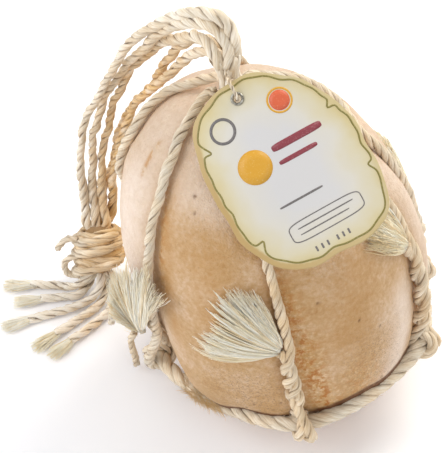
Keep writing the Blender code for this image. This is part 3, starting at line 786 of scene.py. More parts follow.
@dataclass
class CheeseBody:
    """The cheese, finer than its solid: lobes, rope channels, handling lumps and crusty grooves.

    A speck is given by its azimuth in degrees, and its height and size in millimetres.
    """

    around: int = 380
    down: int = 236
    lump: float = 0.0007
    channel: float = 0.0016
    press_width: float = 0.0052
    # how near the ring the painted shadow on the rind is full and where it has faded, in metres
    ring_shadow_reach: tuple[float, float] = (0.0088, 0.0110)
    marks: tuple[Mark, ...] = (
        Mark("crust", (26, 47, 61, 80, 100, 126), (292, 288, 284.5, 282, 280.5, 280), 9.0, 1.0),
        Mark("crust", (24, 34, 44), (302, 296, 290), 6.0, 0.85),
        Mark("crust", (36, 60, 88), (301, 302, 303), 13.0, 0.42),
        Mark("crust", (96, 128, 156), (280, 279.5, 279), 6.0, 0.85),
        Mark("bloom", (10, 24, 46), (240, 244, 248), 34.0, 0.20),
        Mark("bloom", (14, 30, 50), (318, 316, 314), 26.0, 0.40),
        Mark("crust", (95, 133, 150, 172), (279, 279, 279, 278), 4.5, 0.45),
        Mark("stain", (70, 100, 130, 160, 185), (278, 279, 279.5, 279, 278), 9.0, 0.55),
        Mark("crust", (70, 95, 116, 135), (343, 345, 346, 345), 4.0, 0.75),
        Mark("stain", (60, 95, 116, 145), (343, 344, 345, 344), 7.0, 0.7),
        Mark("crust", (120, 150, 175, 196), (223, 224.5, 225, 223), 2.6, 0.55),
        # painted shade: a dark line in the groove beside the left rope
        Mark("stain", (90, 150, 180, 200), (226, 228, 228, 227), 6.0, 1.0),
        Mark("crust", (192, 202, 208), (203, 200, 198), 1.8, 0.55),
        Mark("stain", (118, 158, 190), (250, 250, 247), 19.0, 0.55),
        Mark("stain", (98, 126, 165), (298, 302, 310), 18.0, 0.70),
        # painted highlight: a pale band down the right lobe
        Mark("bloom", (36, 62, 96, 120), (306, 318, 328, 330), 14.0, 0.72),
        # painted light on the left side and upper left, where the bundle's shadow falls
        Mark("bloom", (70, 120, 180, 206), (198, 200, 201, 201), 26.0, 0.75),
        Mark("bloom", (60, 150, 215), (3, 3, 0), 30.0, 0.55),
        # painted light: the whole top is paler
        Mark("bloom", (192, 214, 240), (220, 220, 220), 400.0, 0.50),
        Mark("pitted", (22, 50, 92), (254, 256, 256), 26.0, 0.9),
        Mark("pitted", (24, 56, 110), (304, 308, 312), 26.0, 0.7),
        Mark("stain", (40, 60, 80), (262, 262, 264), 16.0, 0.30),
    )
    specks: tuple[tuple[float, float, float], ...] = (
        (291.1, 143.0, 0.9), (241.0, 200.6, 1.0), (242.6, 193.7, 0.8), (313.5, 107.5, 0.7), (299.0, 88.0, 0.6),
        (256.0, 74.0, 0.6), (305.0, 121.0, 0.5), (233.0, 132.0, 0.6), (266.0, 62.0, 0.7), (262.0, 54.0, 0.8),
        (268.0, 50.0, 0.7), (259.0, 47.0, 0.7), (264.5, 42.0, 0.8), (255.0, 59.0, 0.7), (250.0, 50.0, 0.7),
        (311.0, 62.0, 0.7), (317.0, 70.0, 0.7),
    )

    def build(self, ropes: Sequence[Array], ring: Array) -> bpy.types.Object:
        """Builds the cheese.

        Args:
            ropes: the centre lines that press into the rind.
            ring: the ring's centre line, along which a dark line of painted shadow is laid on the rind.

        Returns:
            The piece.
        """
        step = np.linspace(0.004, 1.0, self.down)[:, None]
        azimuth = np.linspace(360, 0, self.around, endpoint=False)[None, :]
        azimuth, step = np.broadcast_arrays(azimuth, step)
        z = FORM.height_at(step)
        base = FORM.point(azimuth, z).reshape(-1, 3)
        outward = FORM.normal(azimuth, np.clip(step, 0.02, 0.985)).reshape(-1, 3)
        press = np.zeros(len(base))
        for rope in ropes:
            near = nearest_distance(base, rope)
            press = np.maximum(press, bell(near / self.press_width))
        values = {key: np.zeros(len(base)) for key in ("crust", "stain", "bloom", "pitted", "scorch")}
        for mark in self.marks:
            share = self.mark_share(mark, azimuth.ravel(), z.ravel())
            values[mark.kind] = np.maximum(values[mark.kind], share)
        pock = np.zeros(len(base))
        for place, tall, size in self.specks:
            away = np.linalg.norm(base - FORM.point(place, tall * MM), axis=1) / (size * MM)
            pock = np.maximum(pock, bell(away))
        # painted shadow: a dark line on the rind where it meets the ring, laid in with the specks
        ring_shadow = 1 - smooth_step(nearest_distance(base, ring), *self.ring_shadow_reach)
        values["scorch"] = np.maximum(pock, ring_shadow)
        # painted shade: the rind darkens along every rope channel
        values["stain"] = np.maximum(values["stain"], 0.70 * press)
        rough = values["crust"] * (0.00055 * value_noise(base, 0.0030, 4) + 0.0003 * value_noise(base, 0.0014, 5))
        lumps = self.lump * value_noise(base, 0.026, 1) + 0.45 * self.lump * value_noise(base, 0.010, 2)
        lumps = lumps + self.swell(azimuth.ravel(), z.ravel())
        fine = 0.00010 * value_noise(base, 0.0032, 3)
        still = smooth_step(z.ravel(), 0.0, 0.004)
        lift = (lumps + fine + rough - self.channel * press - 0.0006 * pock) * still
        grid = (base + lift[:, None] * outward).reshape(self.down, self.around, 3)
        named = {key: value.reshape(self.down, self.around) for key, value in values.items()}
        shell = surface(grid, **named)
        piece = add_piece("provolone", shell, RindFinish().material())
        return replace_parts(piece, "cheese_body")

    @staticmethod
    def swell(azimuth: Array, z: Array) -> Array:
        """Where the foot bulges over the ring and the far lobe stands out.

        Each bell has an azimuth and a half width in degrees, a height, a half height and a rise in metres.
        """
        bells = [(248.0, 38.0, 0.050, 0.030, 0.0024), (276.0, 22.0, 0.034, 0.024, 0.0044),
                 (229.0, 14.0, 0.040, 0.026, 0.0030), (341.0, 11.0, 0.044, 0.022, 0.0024),
                 (322.0, 16.0, 0.040, 0.020, 0.0020), (2.0, 24.0, 0.130, 0.050, 0.0030)]
        total = np.zeros(len(azimuth))
        for at, wide, tall, high, most in bells:
            away = turn_between(azimuth, at) / wide
            total += most * np.exp(-(away**4)) * bell((z - tall) / high)
        return total

    @staticmethod
    def mark_share(mark: Mark, azimuth: Array, z: Array) -> Array:
        """How strongly a mark shows at each place, from 0 to its strength."""
        heights = np.array(mark.heights) * MM
        line = np.interp(z, heights, mark.azimuths)
        away = turn_between(azimuth, line) * math.pi / 180 * FORM.plain_radius(z)
        fade = (heights[-1] - heights[0]) / 5
        ends = smooth_step(z, heights[0] - fade, heights[0] + fade) * (
            1 - smooth_step(z, heights[-1] - fade, heights[-1] + fade))
        return mark.strength * bell(away / (mark.half_width * MM)) * ends


# ---------------------------------------------------------------- rope

@dataclass
class LaidRope:
    """Rope laid from strands that wind round one another.

    Strand k goes round the path at the angle 2 pi (run / pitch + k / strands), a quarter of the diameter out.
    Its own section is an ellipse, a little wider along the rope's skin than through it. Thickness and stand-off
    wander slowly along the run, and short hairs leave the skin at a low angle.
    """

    path: Array
    diameter: float
    hint: Array
    seed: int
    strands: int = 3
    pitch: float = 3.9           # in diameters
    loose: float = 0.06
    girth: Array | float = 1.0
    gold: Array | float = 0.0
    sides: int = 10
    hairs: float = 900.0         # for each metre
    hair_length: float = 0.0042
    hair_reach: float = 0.60     # in diameters
    bleach: float = 0.0
    closed: bool = False

    def shell(self) -> Shell:
        """The strands and their hairs as one surface."""
        parts = self.strand_shells()
        if self.hairs:
            parts.append(self.hair_shell())
        whole = joined(parts)
        whole.points[:, 2] = np.maximum(whole.points[:, 2], 0.0002)
        return whole

    def frames(self) -> tuple[Array, Array, Array]:
        """Tangents and side directions along the path, joined up where it is closed."""
        if not self.closed:
            return moving_frames(self.path, self.hint)
        hint = np.broadcast_to(self.hint, self.path.shape)
        around = np.vstack([self.path[-2:], self.path, self.path[:2]])
        tangent = unit(np.gradient(around, axis=0))[2:-2]
        first = unit(hint - dot(hint, tangent) * tangent)
        return tangent, first, np.cross(tangent, first)

    def strand_shells(self) -> list[Shell]:
        """One closed surface for each strand."""
        run = run_along(self.path)
        whole = run[-1] + (np.linalg.norm(self.path[0] - self.path[-1]) if self.closed else 0.0)
        turns = whole / (self.pitch * self.diameter)
        turns = round(turns * self.strands) / self.strands if self.closed else turns
        _, first, second = self.frames()
        stand_off, half_thickness = (0.25, 0.262) if self.strands > 2 else (0.22, 0.285)    # in diameters
        girth = np.broadcast_to(self.girth, run.shape)[:, None]
        gold = np.broadcast_to(self.gold, run.shape)[:, None]
        theta = circle(self.sides, -math.pi)[None, :, None]
        shells = []
        for number in range(self.strands):
            seed = 31 * self.seed + number
            fade = 1.0 if not self.closed else np.sin(math.pi * run / whole) ** 0.5
            wander = self.loose * (drift(run, 0.047, seed) * fade)[:, None]
            swell = 1 + 0.9 * self.loose * (drift(run, 0.021, seed + 7) * fade)[:, None]
            phase = 2 * math.pi * (turns * run / whole + number / self.strands)[:, None] + 1.6 * wander
            away = around(phase, first, second)
            out = self.diameter * girth * stand_off * (1 + wander)
            middle = self.path + out * away
            if self.closed:
                tangent = unit(np.gradient(np.vstack([middle[-2:], middle, middle[:2]]), axis=0))[2:-2]
            else:
                tangent = unit(np.gradient(middle, axis=0))
            up = unit(away - dot(away, tangent) * tangent)
            side = np.cross(tangent, up)
            thick = self.diameter * girth * half_thickness * swell
            ring = 0.94 * np.cos(theta) * up[:, None] + 1.14 * np.sin(theta) * side[:, None]
            grid = middle[:, None] + thick[:, :, None] * ring
            # painted shade: the inner side of each strand, facing the furrows, is marked for darkening
            inward = smooth_step(-np.cos(theta[..., 0]), -0.42, 0.55)
            tone = 0.5 + self.bleach + 0.5 * drift(run, 0.060, seed + 17)[:, None]
            across = np.linspace(0, 2 * math.pi * 0.27 * self.diameter / MM, self.sides + 1)
            shells.append(surface(grid, across=across + 7.3 * seed, along=run / MM + 11.0 * number,
                                  wrap=self.closed and self.joins(turns), furrow=inward, tone=tone, gold=gold))
        return shells

    def joins(self, turns: float) -> bool:
        """Whether each strand of a closed rope meets itself, which takes whole turns."""
        return abs(turns - round(turns)) < 1e-6

    def hair_shell(self) -> Shell:
        """Short hairs that start on the skin and lift off it, along a curve of the second degree."""
        rng = np.random.default_rng(1000 + self.seed)
        tangent, first, second = self.frames()
        run = run_along(self.path)
        count = max(8, int(self.hairs * run[-1]))
        row = rng.integers(1, len(self.path) - 1, count)
        angle = rng.uniform(0, 2 * math.pi, count)[:, None]
        away = around(angle, first[row], second[row])
        heading = rng.choice([-1, 1], (count, 1), p=[0.35, 0.65])
        lay = unit(tangent[row] + 0.42 * np.cross(tangent[row], away)) * heading
        girth = np.broadcast_to(self.girth, run.shape)[row][:, None]
        root = self.path[row] + 0.44 * self.diameter * girth * away
        length = self.hair_length * rng.uniform(0.35, 1.0, (count, 1))
        stray = rng.normal(0, 0.22, (count, 3))
        tip = root + length * (0.8 * lay + rng.uniform(0.05, 0.42, (count, 1)) * away + stray * 0.5)
        bend = root + length * 0.5 * (lay + 0.10 * away)
        middle = self.path[row]
        off = tip - middle - dot(tip - middle, tangent[row]) * tangent[row]
        most = self.hair_reach * self.diameter + 0.0006
        tip = tip - off * np.maximum(0, 1 - most / np.linalg.norm(off, axis=1, keepdims=True))
        t = np.linspace(0, 1, 4)[None, :, None]
        lines = (1 - t) ** 2 * root[:, None] + 2 * t * (1 - t) * bend[:, None] + t**2 * tip[:, None]
        radius = np.array([0.13, 0.12, 0.09, 0.03])[None, :] * MM * rng.uniform(0.7, 1.2, (count, 1))
        gold = np.broadcast_to(self.gold, run.shape)[row][:, None] * np.ones((1, 4))
        tone = rng.uniform(0.3, 1.0, (count, 1)) * np.ones((1, 4))
        return fibres(lines, radius, gold=gold, tone=tone, furrow=np.zeros_like(tone))


@dataclass
class RopeNet:
    """The ring near the foot and the six ropes that run from the neck, round it, and back up.

    A hitch has the ring's radius there in millimetres, and the ring's slack from there to the next one. The
    doubled part of a rope ends at its return top, a height in metres.
    """

    ring_diameter: float = 0.0095
    ring_height: float = 0.0420
    ring_tilt: float = 0.17
    net_diameter: float = 0.0055
    down_shift: float = 0.0028
    return_shift: float = 0.0034
    twist_radius: float = 0.0025
    twist_end: float = 0.64      # steps down the cheese
    low_step: float = 0.61
    hitch_shift: float = 0.0045
    hitch_girth: float = 0.36
    neck_foot: tuple[float, float, float] = (-0.0362, 0.0014, 0.2248)
    spacing: float = 0.00125
    hitches: dict[str, tuple[float, float]] = field(default_factory=lambda: {
        "front": (81.6, 0.048), "right": (79.8, 0.030), "right_back": (80.5, 0.02),
        "back": (84.5, 0.05), "left_back": (86.0, 0.03), "left": (82.8, 0.100),
    })
    return_tops: dict[str, float] = field(default_factory=lambda: {
        "front": 0.114, "right": 0.138, "right_back": 0.112, "back": 0.118, "left_back": 0.108, "left": 0.074,
    })
    golds: dict[str, float] = field(default_factory=lambda: {
        "front": 0.36, "right": 0.30, "right_back": 0.15, "back": 0.2, "left_back": 0.15, "left": 0.12,
    })

    def ring_point(self, azimuth: Array) -> Array:
        """The ring's centre line: a tilted loop that runs straighter between its hitches.

        From one hitch to the next the radius eases over with (1 - cos(pi phase)) / 2, and is then drawn in by the
        hitch's slack times sin(pi phase) ^ 1.3.
        """
        azimuth = np.mod(azimuth, 360)
        order = sorted((FORM.ropes[rope][-1] % 360, rope) for rope in FORM.ropes)
        lows = np.array([a for a, _ in order])
        radii = np.array([self.hitches[rope][0] for _, rope in order])
        slack = np.array([self.hitches[rope][1] for _, rope in order])
        here = (np.searchsorted(lows, azimuth, side="right") - 1) % len(lows)
        there = (here + 1) % len(lows)
        phase = np.mod(azimuth - lows[here], 360) / np.mod(lows[there] - lows[here], 360)
        ease = (1 - np.cos(math.pi * phase)) / 2
        radius = MM * (radii[here] + (radii[there] - radii[here]) * ease)
        radius = radius * (1 - slack[here] * np.sin(math.pi * phase) ** 1.3)
        x, y = radius * np.cos(np.radians(azimuth)), radius * np.sin(np.radians(azimuth))
        return np.stack([x, y, self.ring_height + self.ring_tilt * x], axis=-1)

    def ring(self) -> bpy.types.Object:
        """The thick ring rope, a hand-tied three-strand loop, chafed to a brown fuzz near the left hitch."""
        path = smooth_route(self.ring_point(np.arange(0, 360, 6.0)), 0.0015, closed=True)
        rope = LaidRope(path, self.ring_diameter, UP, seed=3, pitch=3.5, loose=0.13, gold=0.08, sides=14,
                        hairs=3200, hair_length=0.0070, closed=True)
        chafed = smooth_route(self.ring_point(np.linspace(215, 234, 12)), 0.0015)
        worn = LaidRope(chafed, self.ring_diameter, UP, seed=4, strands=0, gold=0.8, hairs=60000,
                        hair_length=0.012, hair_reach=0.95)
        shell = joined([rope.shell(), worn.shell()])
        piece = add_piece("ring_of_rope", shell, RopeFinish().material())
        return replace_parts(piece, "ring_rope")

    def beside_route(self, rope: str, step: Array, shift: Array) -> Array:
        """Where a run lies to one side of its rope's route.

        Args:
            rope: which one.
            step: fractions of the way down.
            shift: how far to the side, square to the route, in metres.

        Returns:
            Azimuths in degrees.
        """
        azimuth, z = FORM.rope_azimuth(rope, step), FORM.height_at(step)
        radius = FORM.radius(azimuth, z)
        drifted = np.radians(FORM.rope_azimuth(rope, step + 0.02) - azimuth) * radius
        slant = np.hypot(1.0, drifted / (z - FORM.height_at(step + 0.02)))
        return azimuth + np.degrees(shift * slant / radius)

    def side(self, rope: str) -> int:
        """On which side of the run down the run back up lies."""
        return -1 if rope == "right_back" else 1

    def hitch(self, rope: str) -> Array:
        """A turn and a half round the ring: from its outer side under it, over it, and up on its inner side."""
        azimuth = FORM.ropes[rope][-1]
        centre = self.ring_point(np.array(float(azimuth)))
        outward = np.array([math.cos(math.radians(azimuth)), math.sin(math.radians(azimuth)), 0.0])
        sideways = np.array([-outward[1], outward[0], 0.0])
        reach = 0.49 * (self.ring_diameter + self.net_diameter)
        turn = np.radians(np.arange(0, 541, 30.0))[:, None]
        shift = -self.side(rope) * (turn / math.radians(270) - 1) * self.hitch_shift
        return centre + reach * around(turn, outward, -UP) + shift * sideways

    def run_beside(self, rope: str, step: Array, shift: float, way: int) -> Array:
        """One of the two runs: it keeps to one side of the route, and below the doubled rope's top it winds.

        Args:
            rope: which one.
            step: fractions of the way down.
            shift: how far it lies from the route above the doubled part, in metres.
            way: 1 for the run down, and -1 for the run back up, which is half a turn behind.

        Returns:
            Points on its centre line.
        """
        top = float(FORM.step_at(self.return_tops[rope]))
        turn = 4 * math.pi * np.clip((step - top) / (self.twist_end - top), 0, 1)
        paired = smooth_step(step, top - 0.02, top + 0.05)
        across = shift + (self.twist_radius * np.cos(turn) - shift) * paired
        lift = self.net_diameter / 2 + 0.0002 + self.twist_radius * (1 + way * np.sin(turn)) * paired
        return FORM.over(self.beside_route(rope, step, way * self.side(rope) * across), step, lift)

    def path(self, rope: str) -> Array:
        """A whole net rope's centre line.

        The run down follows the route, a little to one side of it. From the top of the doubled part on, the two
        runs turn twice about each other on the way to the ring.

        Args:
            rope: which one.

        Returns:
            Points about 1.25 mm apart.
        """
        top = float(FORM.step_at(self.return_tops[rope]))
        first = math.radians(FORM.ropes[rope][0])
        away = np.array([math.cos(first), math.sin(first), 0.0])
        foot = np.array(self.neck_foot)
        start = np.stack([foot + 0.0110 * away + [0, 0, 0.0074], foot + 0.0175 * away + [0, 0, 0.0042]])
        step = np.concatenate([[0.115, 0.15, 0.19, 0.235, 0.29], np.linspace(0.33, self.low_step, 15)])
        down = self.run_beside(rope, step, self.down_shift, 1)
        step = np.linspace(self.low_step, top, max(5, round((self.low_step - top) / 0.02)))
        back = self.run_beside(rope, step, self.return_shift, -1)
        return smooth_route(np.vstack([start, down, self.hitch(rope), back]), self.spacing)

    def net_rope(self, rope: str, number: int) -> bpy.types.Object:
        """One net rope with its hitch."""
        path = self.path(rope)
        centre = np.stack([FORM.centre_x(path[:, 2]), np.zeros(len(path)), path[:, 2] * 0.9], axis=1)
        hint = unit(path - centre)
        run = run_along(path)
        at_ring = bell((run - run[path[:, 2].argmin()]) / 0.013)
        girth = 1.12 + 0.10 * drift(run, 0.09, 50 + number) + self.hitch_girth * at_ring
        laid = LaidRope(path, self.net_diameter, hint, seed=10 + number, pitch=4.4, loose=0.17,
                        girth=girth, gold=self.golds[rope], hairs=1100)
        piece = add_piece(f"net_run_{rope}", laid.shell(), RopeFinish().material())
        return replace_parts(piece, f"net_rope_{rope}")

    def loose_ends(self) -> list[bpy.types.Object]:
        """Two short free ends that hang out of the left hitch."""
        routes = {
            "loose_end_long": ((-96.5, -11, 42), (-99, -9, 34), (-98.5, -8, 24), (-97, -6, 13), (-96.5, -4, 4)),
            "loose_end_short": ((-98, 2, 47), (-103, 7, 44), (-108, 12, 38), (-111, 14, 30), (-112, 14, 22)),
        }
        pieces = []
        for number, (name, route) in enumerate(routes.items()):
            path = smooth_route(np.array(route) * MM, 0.0012)
            laid = LaidRope(path, 0.0045, np.array([0.3, 0.95, 0.05]), seed=70 + number, loose=0.16,
                            gold=0.12, hairs=1600)
            piece = add_piece(f"free_{name}", laid.shell(), RopeFinish().material())
            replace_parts(piece, name)
            pieces.append(piece)
        return pieces


# ---------------------------------------------------------------- tassels

@dataclass
class Tassel:
    """The combed-out end of a doubled rope.

    Locks of fibre start together at the rope's end and reach to tips given by azimuth, height and lift. Within a
    lock the fibres draw apart with the power 0.7 of the share of their length.
    """

    rope: str
    tips: tuple[tuple[float, float, float], ...]
    gold: float
    seed: int
    root_lift: float = 0.0030
    root_spread: float = 0.0045
    locks: int = 46
    fibres_each: int = 22
    rows: int = 11
    crown: float = 0.0034
    lock_lengths: tuple[float, float] = (0.91, 1.03)     # as shares of the way to the tips
    fibre_lengths: tuple[float, float] = (0.80, 1.04)    # as shares of the lock's
    lock_radius: tuple[float, float] = (0.0010, 0.0034)  # at the root, and what it gains by the tips
    fibre_radius: float = 0.00025

    def shell(self, net: RopeNet) -> Shell:
        """All fibres of the tassel.

        Args:
            net: gives the place of the rope's end.

        Returns:
            The surface.
        """
        rng = np.random.default_rng(self.seed)
        turn = net.side(self.rope)
        root_z = net.return_tops[self.rope] + 0.0015
        root = float(net.beside_route(self.rope, FORM.step_at(root_z), -turn * net.return_shift))
        tips = np.array(self.tips, float)
        tips[:, 0] = root + turn_between(tips[:, 0], root)
        share = (np.arange(self.locks) + rng.uniform(0.2, 0.8, self.locks)) / self.locks
        places = share * (len(tips) - 1)
        aim = np.stack([np.interp(places, np.arange(len(tips)), tips[:, i]) for i in range(3)], axis=1)
        length = rng.uniform(*self.lock_lengths, self.locks)
        curl = rng.normal(0, 1.0, self.locks)
        layer = rng.uniform(0.35, 1.0, self.locks)
        s = np.linspace(0, 1, self.rows)
        shape = (self.locks, self.fibres_each, self.rows)
        each = rng.uniform(*self.fibre_lengths, shape[:2])[:, :, None]
        reach = s[None, None] * length[:, None, None] * each
        azimuth = root + (aim[:, 0, None, None] - root) * reach
        z = root_z + (aim[:, 1, None, None] * MM - root_z) * reach
        bend = np.sin(math.pi * np.minimum(reach, 1.0) * 0.9) * curl[:, None, None] * 0.0013
        tip_curl = curl[:, None, None] * 0.0026 * reach**3
        spread = self.lock_radius[0] + self.lock_radius[1] * s**0.7
        angle = rng.uniform(0, 2 * math.pi, shape[:2])[:, :, None]
        away = np.sqrt(rng.uniform(0, 1, shape[:2]))[:, :, None] * spread[None, None]
        twist = angle + (2.4 * s)[None, None]
        w = 2 * share[:, None, None] - 1
        root_offset = 0.0028 * turn * w * (1 - s)
        crimp = 0.00045 * np.sin(15 * s[None, None] + 6.0 * curl[:, None, None] + 1.2 * angle) * s
        sideways = away * np.cos(twist) + 1.3 * bend + tip_curl + crimp - root_offset
        azimuth = azimuth + np.degrees(sideways / FORM.plain_radius(np.clip(z, 0.01, 0.2)))
        z = z + (away * np.sin(twist) * 0.5 + 0.5 * bend) - self.root_spread * w * (1 - s)
        body = self.crown * np.sqrt(np.maximum(1 - w * w, 0.05)) * (1 - 0.45 * s) * layer[:, None, None]
        lift = self.root_lift + (aim[:, 2, None, None] * MM - self.root_lift) * s**1.6
        lift = lift - 0.0012 + body + 0.6 * away * np.sin(twist + 1.0)
        lines = FORM.over(azimuth, FORM.step_at(z), lift)
        radius = self.fibre_radius * (1 - 0.5 * s**2)[None, None] * rng.uniform(0.7, 1.35, shape[:2])[:, :, None]
        lock_tone = rng.uniform(0.15, 0.85, self.locks)[:, None, None]
        tone = np.clip(lock_tone + rng.normal(0, 0.16, shape[:2])[:, :, None] + 0 * s, 0, 1)
        # painted shade: lower layers of fibre and the roots are marked for darkening
        under = np.clip(0.75 - layer, 0, 1)[:, None, None] * (1 - 0.6 * s) + 0.35 * np.exp(-s * 9)
        under = np.broadcast_to(under, shape)
        gold = np.clip(self.gold + 0.25 * (rng.uniform(-1, 1, (self.locks, 1, 1))) + 0.2 * s, 0, 1)
        flat = (self.locks * self.fibres_each, self.rows)
        return fibres(lines.reshape(*flat, 3), radius.reshape(flat), tone=tone.reshape(flat),
                      furrow=under.reshape(flat), gold=np.broadcast_to(gold, shape).reshape(flat))

    def build(self, net: RopeNet) -> bpy.types.Object:
        """Builds the tassel over its solid."""
        piece = add_piece(f"combed_{self.rope}", self.shell(net), CombedFinish().material())
        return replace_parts(piece, f"tassel_{self.rope}")


def all_tassels() -> list[Tassel]:
    """The six tassels, each with its tips from one edge to the other."""
    return [
        Tassel("front", ((264, 160, 2.5), (260, 158, 2.5), (255.5, 150, 2.5), (250, 138, 2.5),
                         (245.5, 124, 2.5), (242.5, 111, 2.5), (242.5, 99, 2.5)), 0.10, 201, locks=62),
        Tassel("right", ((337, 174, 2.5), (333, 179, 2.5), (328, 179, 2.5), (324, 175, 2.5),
                         (322.5, 168, 2.5), (325, 161, 2.5)), 0.6, 202, locks=44),
        Tassel("right_back", ((22, 152, 2.5), (30, 153, 2.5), (37, 147, 2.5), (41, 136, 2.5),
                              (42, 124, 2.5)), 0.3, 203, locks=36),
        Tassel("back", ((77, 160, 2.5), (70, 157, 2.5), (63, 149, 2.5), (58, 137, 2.5), (57, 124, 2.5),
                        (59, 112, 2.5)), 0.3, 204),
        Tassel("left_back", ((146, 150, 2.5), (138, 152, 2.5), (130, 147, 2.5), (124, 137, 2.5),
                             (122, 124, 2.5)), 0.3, 205, locks=36),
        Tassel("left", ((231, 140, 8), (226, 148, 8), (219, 149, 8.5), (209, 136, 9), (199, 117, 10), (192, 101, 14),
                        (194, 91, 20), (198, 81, 15)), 0.10, 206, root_lift=0.0095, locks=66),
    ]


# ---------------------------------------------------------------- the neck, the bundle and its knot

@dataclass
class Neck:
    """The ropes gathered at the top: flat bands that close to a waist and open again above and below it."""

    foot: tuple[float, float, float] = (-0.0362, 0.0014, 0.2248)
    top: tuple[float, float, float] = (-0.0420, 0.0060, 0.2500)
    bands: int = 17
    band_width: float = 0.0036
    band_thickness: float = 0.0021
    waist: float = 0.0050

    def build(self) -> bpy.types.Object:
        """Builds the bands, and a core that closes the middle."""
        rng = np.random.default_rng(77)
        foot, top = np.array(self.foot), np.array(self.top)
        axis = unit(top - foot)
        first, second = square_to(axis)
        shells = []
        share = np.array([-0.10, 0.05, 0.22, 0.40, 0.58, 0.78, 1.0, 1.16])
        flare = np.array([0.0122, 0.0098, 0.0078, 0.0062, 0.0052, 0.0058, 0.0074, 0.0080])
        for number in range(self.bands):
            inner = number % 3 == 2
            start = 2 * math.pi * number / self.bands + rng.uniform(-0.08, 0.08)
            angle = start + (1.15 + rng.uniform(-0.35, 0.35)) * share
            reach = flare * (0.62 if inner else 1.0) * rng.uniform(0.94, 1.06)
            knots = foot + share[:, None] * (top - foot) + reach[:, None] * around(angle[:, None], first, second)
            path = smooth_route(knots, 0.0009)
            run = run_along(path)
            middle = foot + dot(path - foot, axis) * axis
            tangent = unit(np.gradient(path, axis=0))
            up = unit((path - middle) - dot(path - middle, tangent) * tangent)
            side = np.cross(tangent, up)
            theta = circle(12, -math.pi)[None, :, None]
            wide = self.band_width / 2 * (1 + 0.12 * drift(run, 0.02, number))[:, None, None]
            thick = self.band_thickness / 2
            ends = np.clip(np.minimum(run, run[-1] - run) / 0.0012, 0.15, 1)[:, None, None]
            ring = (np.cos(theta) * thick * up[:, None] + np.sin(theta) * wide * side[:, None]) * ends
            # painted shade: the inner side and edges of each band are marked for darkening
            inward = smooth_step(-np.cos(theta[..., 0]) + 0.6 * np.abs(np.sin(theta[..., 0])) ** 4, 0.1, 0.9)
            shells.append(surface(path[:, None] + ring, across=np.linspace(0, 9, 13) + 5 * number,
                                  along=run / MM, furrow=inward, tone=rng.uniform(0.7, 1.2),
                                  gold=rng.uniform(0.0, 0.05)))
        turn = circle(24)[None, :, None]
        rows = np.linspace(-0.05, 1.05, 20)[:, None, None]
        girth = (np.interp(rows, share, flare) - 0.0022) * 0.9
        core = foot + rows * (top - foot) + girth * around(turn, first, second)
        # painted shade: the core is marked dark, to fill the middle of the neck with shade
        shells.append(surface(core, across=np.linspace(0, 30, 25), along=np.linspace(0, 25, 20), furrow=0.8,
                              tone=0.5, gold=0.2))
        piece = add_piece("gathered_neck", joined(shells), RopeFinish().material())
        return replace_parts(piece, "gather_neck")


